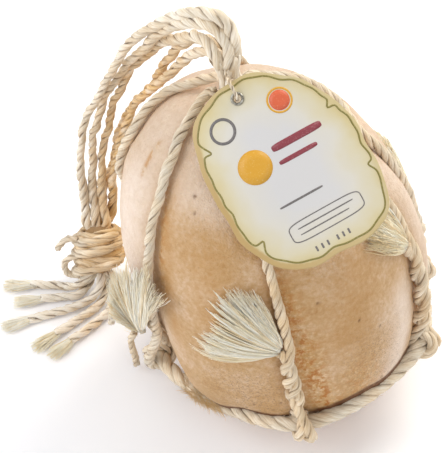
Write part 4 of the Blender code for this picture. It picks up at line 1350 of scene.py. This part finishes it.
@dataclass
class Bundle:
    """Five strands from the neck over an arch, the knot that wraps their lower end, and their splayed ends.

    Routes are given in millimetres, from the neck down.
    """

    strand_diameter: float = 0.0050
    end_diameter: float = 0.0046
    knot_centre: tuple[float, float, float] = (-0.1215, 0.0690, 0.0290)
    knot_axis: tuple[float, float, float] = (0.02, -0.52, -0.85)
    knot_length: float = 0.0285
    routes: tuple[tuple[tuple[float, float, float], ...], ...] = (
        ((-36.3, 6, 254), (-37, 8, 265), (-44, 13, 275), (-57, 20, 273), (-71, 28, 262),
         (-85, 36.5, 244), (-96.5, 46, 222.5), (-107, 55.5, 196.5), (-116, 65, 169), (-124, 74, 140),
         (-129, 80, 109), (-131, 84, 78), (-130, 83, 56), (-128.5, 77.5, 43.5)),
        ((-40.5, 0.5, 254), (-42, 6, 263), (-50.5, 13, 268), (-64, 22, 262), (-77, 34.5, 244.5),
         (-88, 45, 224.5), (-98.5, 54.5, 202), (-107.5, 63, 177), (-115, 70.5, 150), (-121, 77, 124),
         (-124, 82, 94), (-124.5, 85, 66), (-123.5, 83, 53), (-122.5, 77.5, 43.5)),
        ((-46, 1.5, 253), (-50, 7.5, 258.5), (-58, 18, 257.5), (-71, 32, 241.5), (-83, 45, 223),
         (-92, 55.5, 202), (-100, 65, 179.5), (-107.5, 71, 155), (-113.5, 77.5, 128), (-117, 82, 98),
         (-118, 85, 68), (-117.5, 83, 54), (-116.5, 77.5, 43.5)),
        ((-47.3, 9.2, 252), (-56, 17.5, 245.5), (-66, 28, 229), (-76, 40, 206), (-86, 50.5, 184),
         (-95, 61, 162), (-102, 69.5, 138), (-107, 78, 110), (-110.5, 84, 78), (-112.5, 86.5, 55),
         (-114, 84.5, 43.5)),
        ((-41.5, 12, 252.5), (-53, 22.5, 250), (-65, 33, 236), (-74, 45, 214), (-83, 57, 189),
         (-91, 67, 165), (-100, 77, 138), (-108, 85, 108), (-114, 91, 78), (-120, 91, 55),
         (-121.5, 85.5, 43.5)),
    )
    golds: tuple[float, ...] = (0.10, 0.28, 0.62, 0.85, 0.9)
    stoutness: tuple[float, ...] = (0.48, 0.46, 0.42, 0.26, 0.20)    # added over the arch
    waver: float = 0.0018
    end_routes: tuple[tuple[tuple[float, float, float], ...], ...] = (
        ((-130, 58, 14.6), (-134, 58, 8.8), (-141, 60.5, 3.3), (-152, 62, 2.8), (-165, 62.5, 2.8)),
        ((-125.6, 63.2, 11), (-129, 59.5, 5.4), (-136, 53.5, 2.8), (-147, 52, 2.8), (-158, 50.5, 2.8)),
        ((-120, 57, 14.4), (-122, 51.5, 9.5), (-129, 47, 4.6), (-142, 41.5, 2.8), (-165, 33, 2.8)),
        ((-116.4, 63, 11), (-116.8, 56.5, 5.6), (-121, 46, 2.8), (-131.5, 35.5, 2.8), (-148, 21, 2.8)),
        ((-111.6, 58, 13.6), (-111, 51.5, 8), (-113.5, 43, 2.8), (-123, 30.5, 2.8), (-138, 15.5, 2.8)),
    )
    end_golds: tuple[float, ...] = (0.0, 0.08, 0.06, 0.42, 0.48)
    tuft_length: float = 0.0145

    def strands(self, wrapping: list[bpy.types.Object]) -> list[bpy.types.Object]:
        """The five strands, thick and loose over the arch and firmer where they hang.

        Args:
            wrapping: the wrapped knot that the strands end in, with its tails; not used.

        Returns:
            The pieces.
        """
        pieces = []
        for number, route in enumerate(self.routes):
            route = self.into_knot(route)
            path = self.wavy(smooth_route(route, 0.0012), number)
            run = run_along(path)
            share = run / run[-1]
            stout = self.stoutness[number] * (1 - smooth_step(share, 0.10, 0.52))
            plump = 0.22 * smooth_step(share, 0.80, 0.90)
            girth = 1.02 + stout + plump + 0.05 * drift(run, 0.05, number)
            gold = self.golds[number] * (0.25 + 0.75 * smooth_step(share, 0.05, 0.40))
            laid = LaidRope(path, self.strand_diameter, np.array([0.63, 0.77, 0.06]), seed=100 + number,
                            pitch=5.4, loose=0.21, girth=girth, gold=gold, sides=12, hairs=1100, bleach=0.2)
            piece = add_piece(f"hanging_strand_{number + 1}", laid.shell(), RopeFinish().material())
            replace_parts(piece, f"bundle_strand_{number + 1}")
            pieces.append(piece)
        return pieces

    def into_knot(self, route: Sequence[Sequence[float]]) -> Array:
        """A strand's route in metres, carried on into the neck and into the top of the knot."""
        points = np.array(route) * MM
        points = np.vstack([points[0] + 0.36 * (np.array([-0.0400, 0.0045, 0.2400]) - points[0]), points])
        top = np.array(self.knot_centre) - unit(np.array(self.knot_axis)) * self.knot_length * 0.30
        return np.vstack([points, points[-1] + 0.55 * (top - points[-1])])

    def out_of_knot(self, route: Sequence[Sequence[float]]) -> Array:
        """An end's route in metres, begun inside the foot of the knot."""
        points = np.array(route) * MM
        foot = np.array(self.knot_centre) + unit(np.array(self.knot_axis)) * self.knot_length * 0.30
        return np.vstack([points[0] + 0.55 * (foot - points[0]), points])

    def wavy(self, path: Array, number: int) -> Array:
        """A path with a slow waver, which is still at both ends."""
        run = run_along(path)
        still = np.sin(math.pi * run / run[-1])[:, None] ** 0.5
        shift = np.stack([drift(run, 0.110, 3 * number + axis) for axis in range(3)], axis=1)
        return path + self.waver * still * shift

    def knot(self) -> bpy.types.Object:
        """The wrapping: turns of rope that sag and cross over a core of the gathered strands.

        Turn angle a goes at the radius 0.8 R about the knot's axis, and along the axis by a share of its length,
        with a sag of 0.1 R cos(a + phase) that differs from turn to turn.
        """
        centre, axis = np.array(self.knot_centre), unit(np.array(self.knot_axis))
        first, second = square_to(axis)
        shells = []
        # starting angle, turns, radius, diameter, gold and seed of each layer
        layers = [(0.0, 4.6, 0.0130, 0.0066, 0.60, 1), (0.6, 2.7, 0.0150, 0.0060, 0.40, 2),
                  (2.2, 3.4, 0.0122, 0.0062, 0.85, 3)]
        for start, turns, radius, diameter, gold, seed in layers:
            angle = np.linspace(0, turns * 2 * math.pi, int(turns * 14))
            share = angle / angle[-1]
            along = (share - 0.5) * (self.knot_length - 0.004)
            along = along + 0.0022 * np.cos(angle + 1.9 * seed) + 0.0014 * np.sin(0.37 * angle + seed)
            reach = radius + 0.0006 * np.sin(1.7 * angle + seed) - 0.0010 * (2 * share - 1) ** 2
            path = centre + along[:, None] * axis + reach[:, None] * around((angle + start)[:, None], first, second)
            path = smooth_route(path, 0.0012)
            hint = unit(path - centre - dot(path - centre, axis) * axis)
            side = np.interp(run_along(path), run_along(path)[[0, -1]], angle[[0, -1]])
            gold = np.clip(gold + 0.38 * np.cos(side + start), 0, 1)
            laid = LaidRope(path, diameter, hint, seed=300 + seed, pitch=7.5, loose=0.26, gold=gold, sides=12,
                            hairs=1500)
            shells.append(laid.shell())
        turn = circle(48)[None, :, None]
        rows = np.linspace(-1, 1, 24)[:, None, None]
        girth = 0.0112 * (1 + 0.10 * np.cos(5 * turn + 1.2 * rows)) * np.sqrt(np.clip(1.12 - rows**2, 0.02, 1))
        core = centre + rows * (self.knot_length / 2 + 0.001) * axis + girth * around(turn, first, second)
        # painted shade: the core is marked dark, as shade among the wrapping's turns
        shells.append(surface(core, across=np.linspace(0, 70, 49), along=np.linspace(0, 30, 24), furrow=0.85,
                              tone=0.4, gold=0.8))
        piece = add_piece("wrapping_knot", joined(shells), RopeFinish().material())
        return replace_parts(piece, "wrapped_knot")

    def knot_tails(self) -> list[bpy.types.Object]:
        """The wrapping's own frayed end and a slack turn at its left."""
        routes = {
            "knot_tail": ((-134, 66, 42), (-141, 66, 41), (-144.5, 65, 38), (-147, 64, 34)),
            "knot_slack_turn": ((-134, 61.5, 32), (-141, 59.5, 29), (-142.5, 58, 24), (-140, 57, 19),
                                (-133.5, 56.5, 18)),
        }
        pieces = []
        for number, (name, route) in enumerate(routes.items()):
            path = smooth_route(np.array(route) * MM, 0.0009)
            laid = LaidRope(path, 0.0042, np.array([0.1, 0.9, 0.3]), seed=320 + number, loose=0.2, gold=0.05,
                            hairs=2600, hair_length=0.006)
            piece = add_piece(f"laid_{name}", laid.shell(), RopeFinish().material())
            pieces.append(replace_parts(piece, name))
        return pieces

    def splayed_ends(self) -> list[bpy.types.Object]:
        """The five ends on the floor, each a free cord with a frayed tuft at its tip."""
        pieces = []
        for number, route in enumerate(self.end_routes):
            route = self.out_of_knot(route)
            path = smooth_route(route, 0.0011)
            run = run_along(path)
            share = run / run[-1]
            girth = 1.16 + 0.18 * drift(run, 0.03, 400 + number) * (1 - share) + 0.10 * share
            laid = LaidRope(path, self.end_diameter, np.array([-0.05, 0.3, 0.95]), seed=400 + number, pitch=6.0,
                            loose=0.26, girth=girth, gold=self.end_golds[number], hairs=2600, bleach=0.75)
            piece = add_piece(f"free_end_{number + 1}", laid.shell(), RopeFinish().material())
            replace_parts(piece, f"splayed_end_{number + 1}")
            tuft = self.tuft(number, path[-1], unit(path[-1] - path[-4]))
            pieces += [piece, tuft]
        return pieces

    def tuft(self, number: int, root: Array, heading: Array) -> bpy.types.Object:
        """The frayed tip of one end: fibres that open out and droop to the floor.

        Args:
            number: which end, from 0.
            root: the middle of the end's last ring.
            heading: the direction in which the end runs out.

        Returns:
            The piece.
        """
        rng = np.random.default_rng(500 + number)
        count, rows = 260, 8
        side = unit(np.cross(heading, UP))
        s = np.linspace(0, 1, rows)[None, :]
        angle = rng.uniform(0, 2 * math.pi, (count, 1))
        inner = np.sqrt(rng.uniform(0, 1, (count, 1)))
        group = rng.integers(0, 5, (count, 1)) / 4 - 0.5
        width = inner * np.cos(angle) * 0.0020 + s * (group * 0.0062 + rng.normal(0, 0.0007, (count, 1)))
        tall = inner * np.sin(angle) * 0.0019 * (1 - 0.4 * s) - 0.0007 * s + rng.normal(0, 0.0003, (count, 1)) * s
        reach = s * self.tuft_length * rng.uniform(0.5, 1.25, (count, 1)) - 0.004 * (1 - s)
        lines = root + reach[..., None] * heading + width[..., None] * side
        lines[..., 2] = np.maximum(root[2] + tall - 0.0002, 0.0004)
        radius = 0.00023 * (1 - 0.5 * s**2) * rng.uniform(0.7, 1.3, (count, 1))
        tone = np.clip(rng.uniform(0.2, 0.95, (count, 1)) + 0 * s, 0, 1)
        gold = np.clip(0.7 * self.end_golds[number] + 0.22 * s, 0, 1) * np.ones((count, 1))
        # painted shade at the tuft's root
        shell = fibres(lines, radius, tone=tone, gold=gold, furrow=0.3 * np.exp(-4 * s) * np.ones((count, 1)))
        piece = add_piece(f"frayed_tip_{number + 1}", shell, CombedFinish().material())
        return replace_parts(piece, f"end_tuft_{number + 1}")


# ---------------------------------------------------------------- the tag

@dataclass
class HangTag:
    """The card with its printed rim and plain printed fields, its eyelet and its string.

    A place on the card is given in its own plane, right and up from its middle. The plane is turned, and bent
    about its length to a radius of 160 mm.
    """

    centre: tuple[float, float, float] = (-0.0082, -0.0479, 0.2226)
    up: tuple[float, float, float] = (0.0, 0.731, 0.682)
    turn: float = math.radians(29)
    half_width: float = 0.0438
    half_height: float = 0.0546
    corners: tuple[float, ...] = (1.7, 3.0, 2.65, 4.6)
    thickness: float = 0.0008
    bend_radius: float = 0.160
    hole: tuple[float, float] = (-0.0065, 0.0452)
    hole_radius: float = 0.0031
    string_diameter: float = 0.0020

    def directions(self) -> tuple[Array, Array, Array]:
        """Level, upward and frontward directions in the card's middle."""
        level, upward = np.array([1.0, 0, 0]), unit(np.array(self.up))
        return level, upward, unit(np.cross(level, upward))

    def place(self, flat: Array, lift: Array | float = 0.0) -> Array:
        """Places on the bent card from its flat coordinates and a lift off its middle surface."""
        level, upward, front = self.directions()
        c, s = math.cos(self.turn), math.sin(self.turn)
        across = flat[..., 0] * c - flat[..., 1] * s
        along = flat[..., 0] * s + flat[..., 1] * c
        bend, radius = across / self.bend_radius, self.bend_radius + lift
        return (np.array(self.centre) + (radius * np.sin(bend))[..., None] * level + along[..., None] * upward
                + (radius * np.cos(bend) - self.bend_radius)[..., None] * front)

    def outline(self, angle: Array, inset: float = 0.0) -> Array:
        """The card's outline at polar angles: quarters of differing fullness, with a slight waver."""
        quarter = np.floor_divide(np.mod(angle, 2 * math.pi), math.pi / 2).astype(int) % 4
        power = np.array(self.corners)[quarter]
        c, s = np.abs(np.cos(angle)), np.abs(np.sin(angle))
        radius = ((c / self.half_width) ** power + (s / self.half_height) ** power) ** (-1 / power)
        radius = radius * (1 + 0.008 * np.sin(9 * angle) + 0.006 * np.sin(14 * angle + 1)) - inset
        return np.stack([radius * np.cos(angle), radius * np.sin(angle)], axis=-1)

    def card(self) -> bpy.types.Object:
        """The card: rings from the hole out to the rim, on both faces, joined at the rim and in the hole."""
        angle = circle(300)
        rim = self.outline(angle)
        hole = np.array(self.hole) + self.hole_radius * np.stack([np.cos(angle), np.sin(angle)], axis=-1)
        share = np.concatenate([np.linspace(0, 0.9, 52), np.linspace(0.91, 1.0, 12)])[:, None, None]
        flat = hole + share * (rim - hole)
        half, bevel = self.thickness / 2, 0.00012
        edge = np.sqrt(((flat.reshape(-1, 1, 2) - rim[None, ::3]) ** 2).sum(-1).min(1)).reshape(flat.shape[:2])
        upper = self.place(flat, half)
        edge_top = self.place(self.outline(angle, -0.00008)[None], half - bevel)
        edge_low = self.place(self.outline(angle, -0.00008)[None], -half + bevel)
        lower = self.place(flat, -half)[::-1]
        grid = np.concatenate([upper, edge_top, edge_low, lower])
        edges = np.concatenate([edge, edge[-1:], edge[-1:], edge[::-1]]) / MM
        warm = np.clip(0.50 + 0.50 * np.cos(angle - math.radians(200)), 0.15, 1)
        shell = surface(grid, wrap=True, edge=edges, warm=np.broadcast_to(warm, edges.shape))
        piece = add_piece("hang_card", shell, CardFinish().material())
        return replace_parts(piece, "tag")

    def band(self, line: Array, width: float) -> Shell:
        """A printed line that closes on itself: a flat section of a given width carried along it."""
        tangent = unit(np.roll(line, -1, axis=0) - np.roll(line, 1, axis=0))
        square = np.stack([-tangent[:, 1], tangent[:, 0]], axis=1) * width / 2
        top, low = self.thickness / 2 + 0.00008, self.thickness / 2 - 0.00010
        rows = [self.place(line + square, low), self.place(line + square, top),
                self.place(line - square, top), self.place(line - square, low)]
        return surface(np.stack(rows, axis=1), wrap=True)

    def field(self, ring: Array) -> Shell:
        """A printed field: rings from its middle out to its edge, then back underneath."""
        middle = ring.mean(0)
        shares = np.array([0.04, 0.5, 1.0])[:, None, None]
        flat = middle + shares * (ring - middle)
        top = self.place(flat, self.thickness / 2 + 0.00007)
        low = self.place(flat, self.thickness / 2 - 0.00010)[::-1]
        return surface(np.concatenate([top, low]), flip=True)

    def print_piece(self, name: str, shells: Sequence[Shell], finish: InkFinish) -> bpy.types.Object:
        """Adds printed shells as one piece."""
        return add_piece(name, joined(shells), finish.material())

    @staticmethod
    def bar(x: float, y: float, width: float, height: float) -> Array:
        """A bar's outline with round corners: a superellipse of the fifth power, from millimetres."""
        c, s = np.cos(circle(48)), np.sin(circle(48))
        ring = np.stack([np.sign(c) * np.abs(c) ** 0.4 * width / 2, np.sign(s) * np.abs(s) ** 0.4 * height / 2], -1)
        return (ring + [x, y]) * MM

    @staticmethod
    def disc(x: float, y: float, radius: float) -> Array:
        """A circle, from millimetres."""
        return (np.stack([np.cos(circle(48)), np.sin(circle(48))], axis=1) * radius + [x, y]) * MM

    def prints(self) -> list[bpy.types.Object]:
        """The wavering rim line and a few plain fields and bars."""
        angle = circle(420)
        inset = 0.0030 + 0.0011 * np.cos(angle - math.radians(215)) + 0.00035 * np.sin(23 * angle)
        for at, depth in ((141, 0.0052), (27, 0.0040), (332, 0.0030), (222, 0.0040)):
            away = turn_between(np.degrees(angle), at) / 2.6
            inset = inset + depth * bell(away) * (1 + 0.5 * away)
        line = self.outline(angle)
        line = line - unit(line) * inset[:, None]
        olive = InkFinish(name="olive printing ink", tint="#857A3C", worn="#B3A870")
        wine = InkFinish(name="wine printing ink", tint="#8C3B45", worn="#A56A6E")
        grey = InkFinish(name="grey printing ink", tint="#6F6A68", worn="#98938F")
        ochre = InkFinish(name="ochre printing ink", tint="#D9A02E", worn="#E0B863")
        coral = InkFinish(name="coral printing ink", tint="#D9643F", worn="#E08560")
        frame_line = self.bar(5.0, -34.0, 44.0, 11.0)
        ticks = [self.field(self.bar(x, -46.2, 1.1, 3.0)) for x in (-8.0, -4.5, -1.0, 5.0, 8.5, 12.0)]
        return [
            self.print_piece("print_rim_line", [self.band(line, 0.0010)], olive),
            self.print_piece("print_ochre_field", [self.field(self.disc(-16.0, 8.0, 9.5))], ochre),
            self.print_piece("print_coral_disc", [self.field(self.disc(13.0, 33.5, 5.6))], coral),
            self.print_piece("print_ochre_ring", [self.band(self.disc(13.0, 33.5, 6.6), 0.0011)], ochre),
            self.print_piece("print_wine_bars", [self.field(self.bar(11.5, 12.0, 30.0, 4.2)),
                                                 self.field(self.bar(8.0, 3.5, 23.0, 2.6))], wine),
            self.print_piece("print_grey_lines", [self.band(frame_line, 0.0006),
                                                  self.field(self.bar(5.0, -32.2, 34.0, 0.7)),
                                                  self.field(self.bar(3.0, -35.6, 30.0, 0.7)),
                                                  self.field(self.bar(-2.0, -18.0, 26.0, 1.2))] + ticks, grey),
            self.print_piece("print_grey_ring", [self.band(self.disc(-22.0, 33.5, 6.6), 0.0016)], grey),
        ]

    def eyelet(self) -> bpy.types.Object:
        """The rolled eyelet: a barrel through the hole, flared and rolled over on both faces."""
        flat = np.array(self.hole)
        centre = self.place(flat)
        axis = unit(self.place(flat, 0.001) - centre)
        profile = np.array([(2.1, 0.0), (2.15, 0.6), (2.4, 1.05), (2.8, 1.25), (3.3, 1.2), (3.62, 0.95),
                            (3.7, 0.62), (3.6, 0.42), (3.1, 0.42), (2.6, 0.3), (2.55, 0.0), (2.6, -0.42),
                            (3.2, -0.46), (3.6, -0.5), (3.5, -0.78), (3.0, -0.9), (2.3, -0.85), (2.12, -0.6)])
        reach, rise = profile[:, 0] * MM, profile[:, 1] * MM
        spoke = around(circle(64)[:, None], *square_to(axis))
        grid = centre + reach[None, :, None] * spoke[:, None] + rise[None, :, None] * axis
        shell = surface(grid, wrap=True)
        piece = add_piece("rolled_eyelet", shell, EyeletFinish().material())
        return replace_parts(piece, "eyelet")

    def string(self) -> bpy.types.Object:
        """The two-ply string from the neck through the eyelet and back."""
        level, upward, front = self.directions()
        hole = self.place(np.array(self.hole))
        knots = [
            np.array([-0.0430, -0.0030, 0.2510]),
            np.array([-0.0410, -0.0062, 0.2480]),
            hole + front * 0.0026 + upward * 0.0098 - level * 0.0050,
            hole + front * 0.0030 + upward * 0.0042 - level * 0.0020,
            hole + front * 0.0019 + upward * 0.0003,
            hole - front * 0.0022 - upward * 0.0003,
            hole - front * 0.0034 + upward * 0.0040,
            np.array([-0.0390, -0.0056, 0.2440]),
            np.array([-0.0385, -0.0020, 0.2440]),
        ]
        path = smooth_route(knots, 0.0006)
        laid = LaidRope(path, self.string_diameter, np.array([1.0, 0.1, 0.05]), seed=600, strands=2, pitch=3.4,
                        gold=0.05, sides=8, hairs=1500, hair_length=0.003)
        piece = add_piece("card_string", laid.shell(), RopeFinish().material())
        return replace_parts(piece, "tag_string")


# ---------------------------------------------------------------- the studio

@dataclass
class Studio:
    """A pale floor, soft light from the upper right, and the camera."""

    elevation: float = 47.0
    camera_place: tuple[float, float, float] = (-0.0442, -0.9613, 1.1546)
    lens: float = 192.9

    def build(self) -> None:
        """Adds camera, floor, world and lights."""
        scene = bpy.context.scene
        scene.view_settings.view_transform = "Standard"
        camera = bpy.data.objects.new("camera", bpy.data.cameras.new("camera"))
        camera.data.lens = self.lens
        camera.data.sensor_width = 36.0
        camera.location = self.camera_place
        camera.rotation_euler = (math.radians(90 - self.elevation), 0.0, 0.0)
        scene.collection.objects.link(camera)
        scene.camera = camera
        self.floor()
        self.world(scene)
        self.lamp("key light", (0.45, 0.50, 0.95), 0.60, 8.2, "#FFFBF4")
        self.lamp("fill light", (-1.10, -0.20, 0.75), 0.9, 8.0, "#FBFCFF")
        self.lamp("front light", (0.60, -1.05, 0.80), 0.8, 2.6, "#FFFCF8")

    def floor(self) -> None:
        """A pale floor a little under the cheese."""
        mesh = bpy.data.meshes.new("floor")
        size = 3.0
        corners = [(-size, -size, 0), (size, -size, 0), (size, size, 0), (-size, size, 0)]
        mesh.from_pydata(corners, [], [(0, 1, 2, 3)])
        made = bpy.data.materials.new("pale floor")
        made.use_nodes = True
        shader = made.node_tree.nodes["Principled BSDF"]
        shader.inputs["Base Color"].default_value = linear("#FFFFFF")
        shader.inputs["Emission Color"].default_value = (0.60, 0.66, 1.0, 1.0)
        shader.inputs["Emission Strength"].default_value = 0.06
        shader.inputs["Roughness"].default_value = 0.9
        mesh.materials.append(made)
        floor = bpy.data.objects.new("floor", mesh)
        bpy.context.scene.collection.objects.link(floor)
        floor.location.z = -0.0004

    def world(self, scene: bpy.types.Scene) -> None:
        """An even white sky."""
        world = bpy.data.worlds.new("studio")
        world.use_nodes = True
        world.node_tree.nodes["Background"].inputs["Color"].default_value = (0.965, 0.98, 1.0, 1.0)
        world.node_tree.nodes["Background"].inputs["Strength"].default_value = 0.62
        scene.world = world

    def lamp(self, name: str, place: tuple[float, float, float], size: float, power: float, tint: str) -> None:
        """A square soft light that looks at the middle of the cheese.

        Args:
            name: the light's name.
            place: where it stands.
            size: its side in metres.
            power: in watts.
            tint: its hex colour.
        """
        data = bpy.data.lights.new(name, "AREA")
        data.size, data.energy, data.color = size, power, linear(tint)[:3]
        lamp = bpy.data.objects.new(name, data)
        lamp.location = place
        aim = np.array([-0.02, 0.0, 0.1]) - np.array(place)
        yaw = math.atan2(aim[1], aim[0]) - math.pi / 2
        pitch = math.atan2(math.hypot(aim[0], aim[1]), -aim[2])
        lamp.rotation_euler = (pitch, 0.0, yaw)
        bpy.context.scene.collection.objects.link(lamp)


def main() -> None:
    """Builds every sub-assembly in order."""
    logging.basicConfig(level=logging.INFO, format="%(message)s")
    Studio().build()
    bundle = Bundle()
    bundle.strands([bundle.knot(), *bundle.knot_tails()])
    bundle.splayed_ends()
    net = RopeNet()
    net.ring()
    for number, rope in enumerate(FORM.ropes):
        net.net_rope(rope, number)
    net.loose_ends()
    for tassel in all_tassels():
        tassel.build(net)
    Neck().build()
    CheeseBody().build([net.path(rope) for rope in FORM.ropes], net.ring_point(np.arange(0, 360, 2.0)))
    card = HangTag()
    card.card()
    card.prints()
    card.eyelet()
    card.string()


if __name__ == "__main__":
    main()
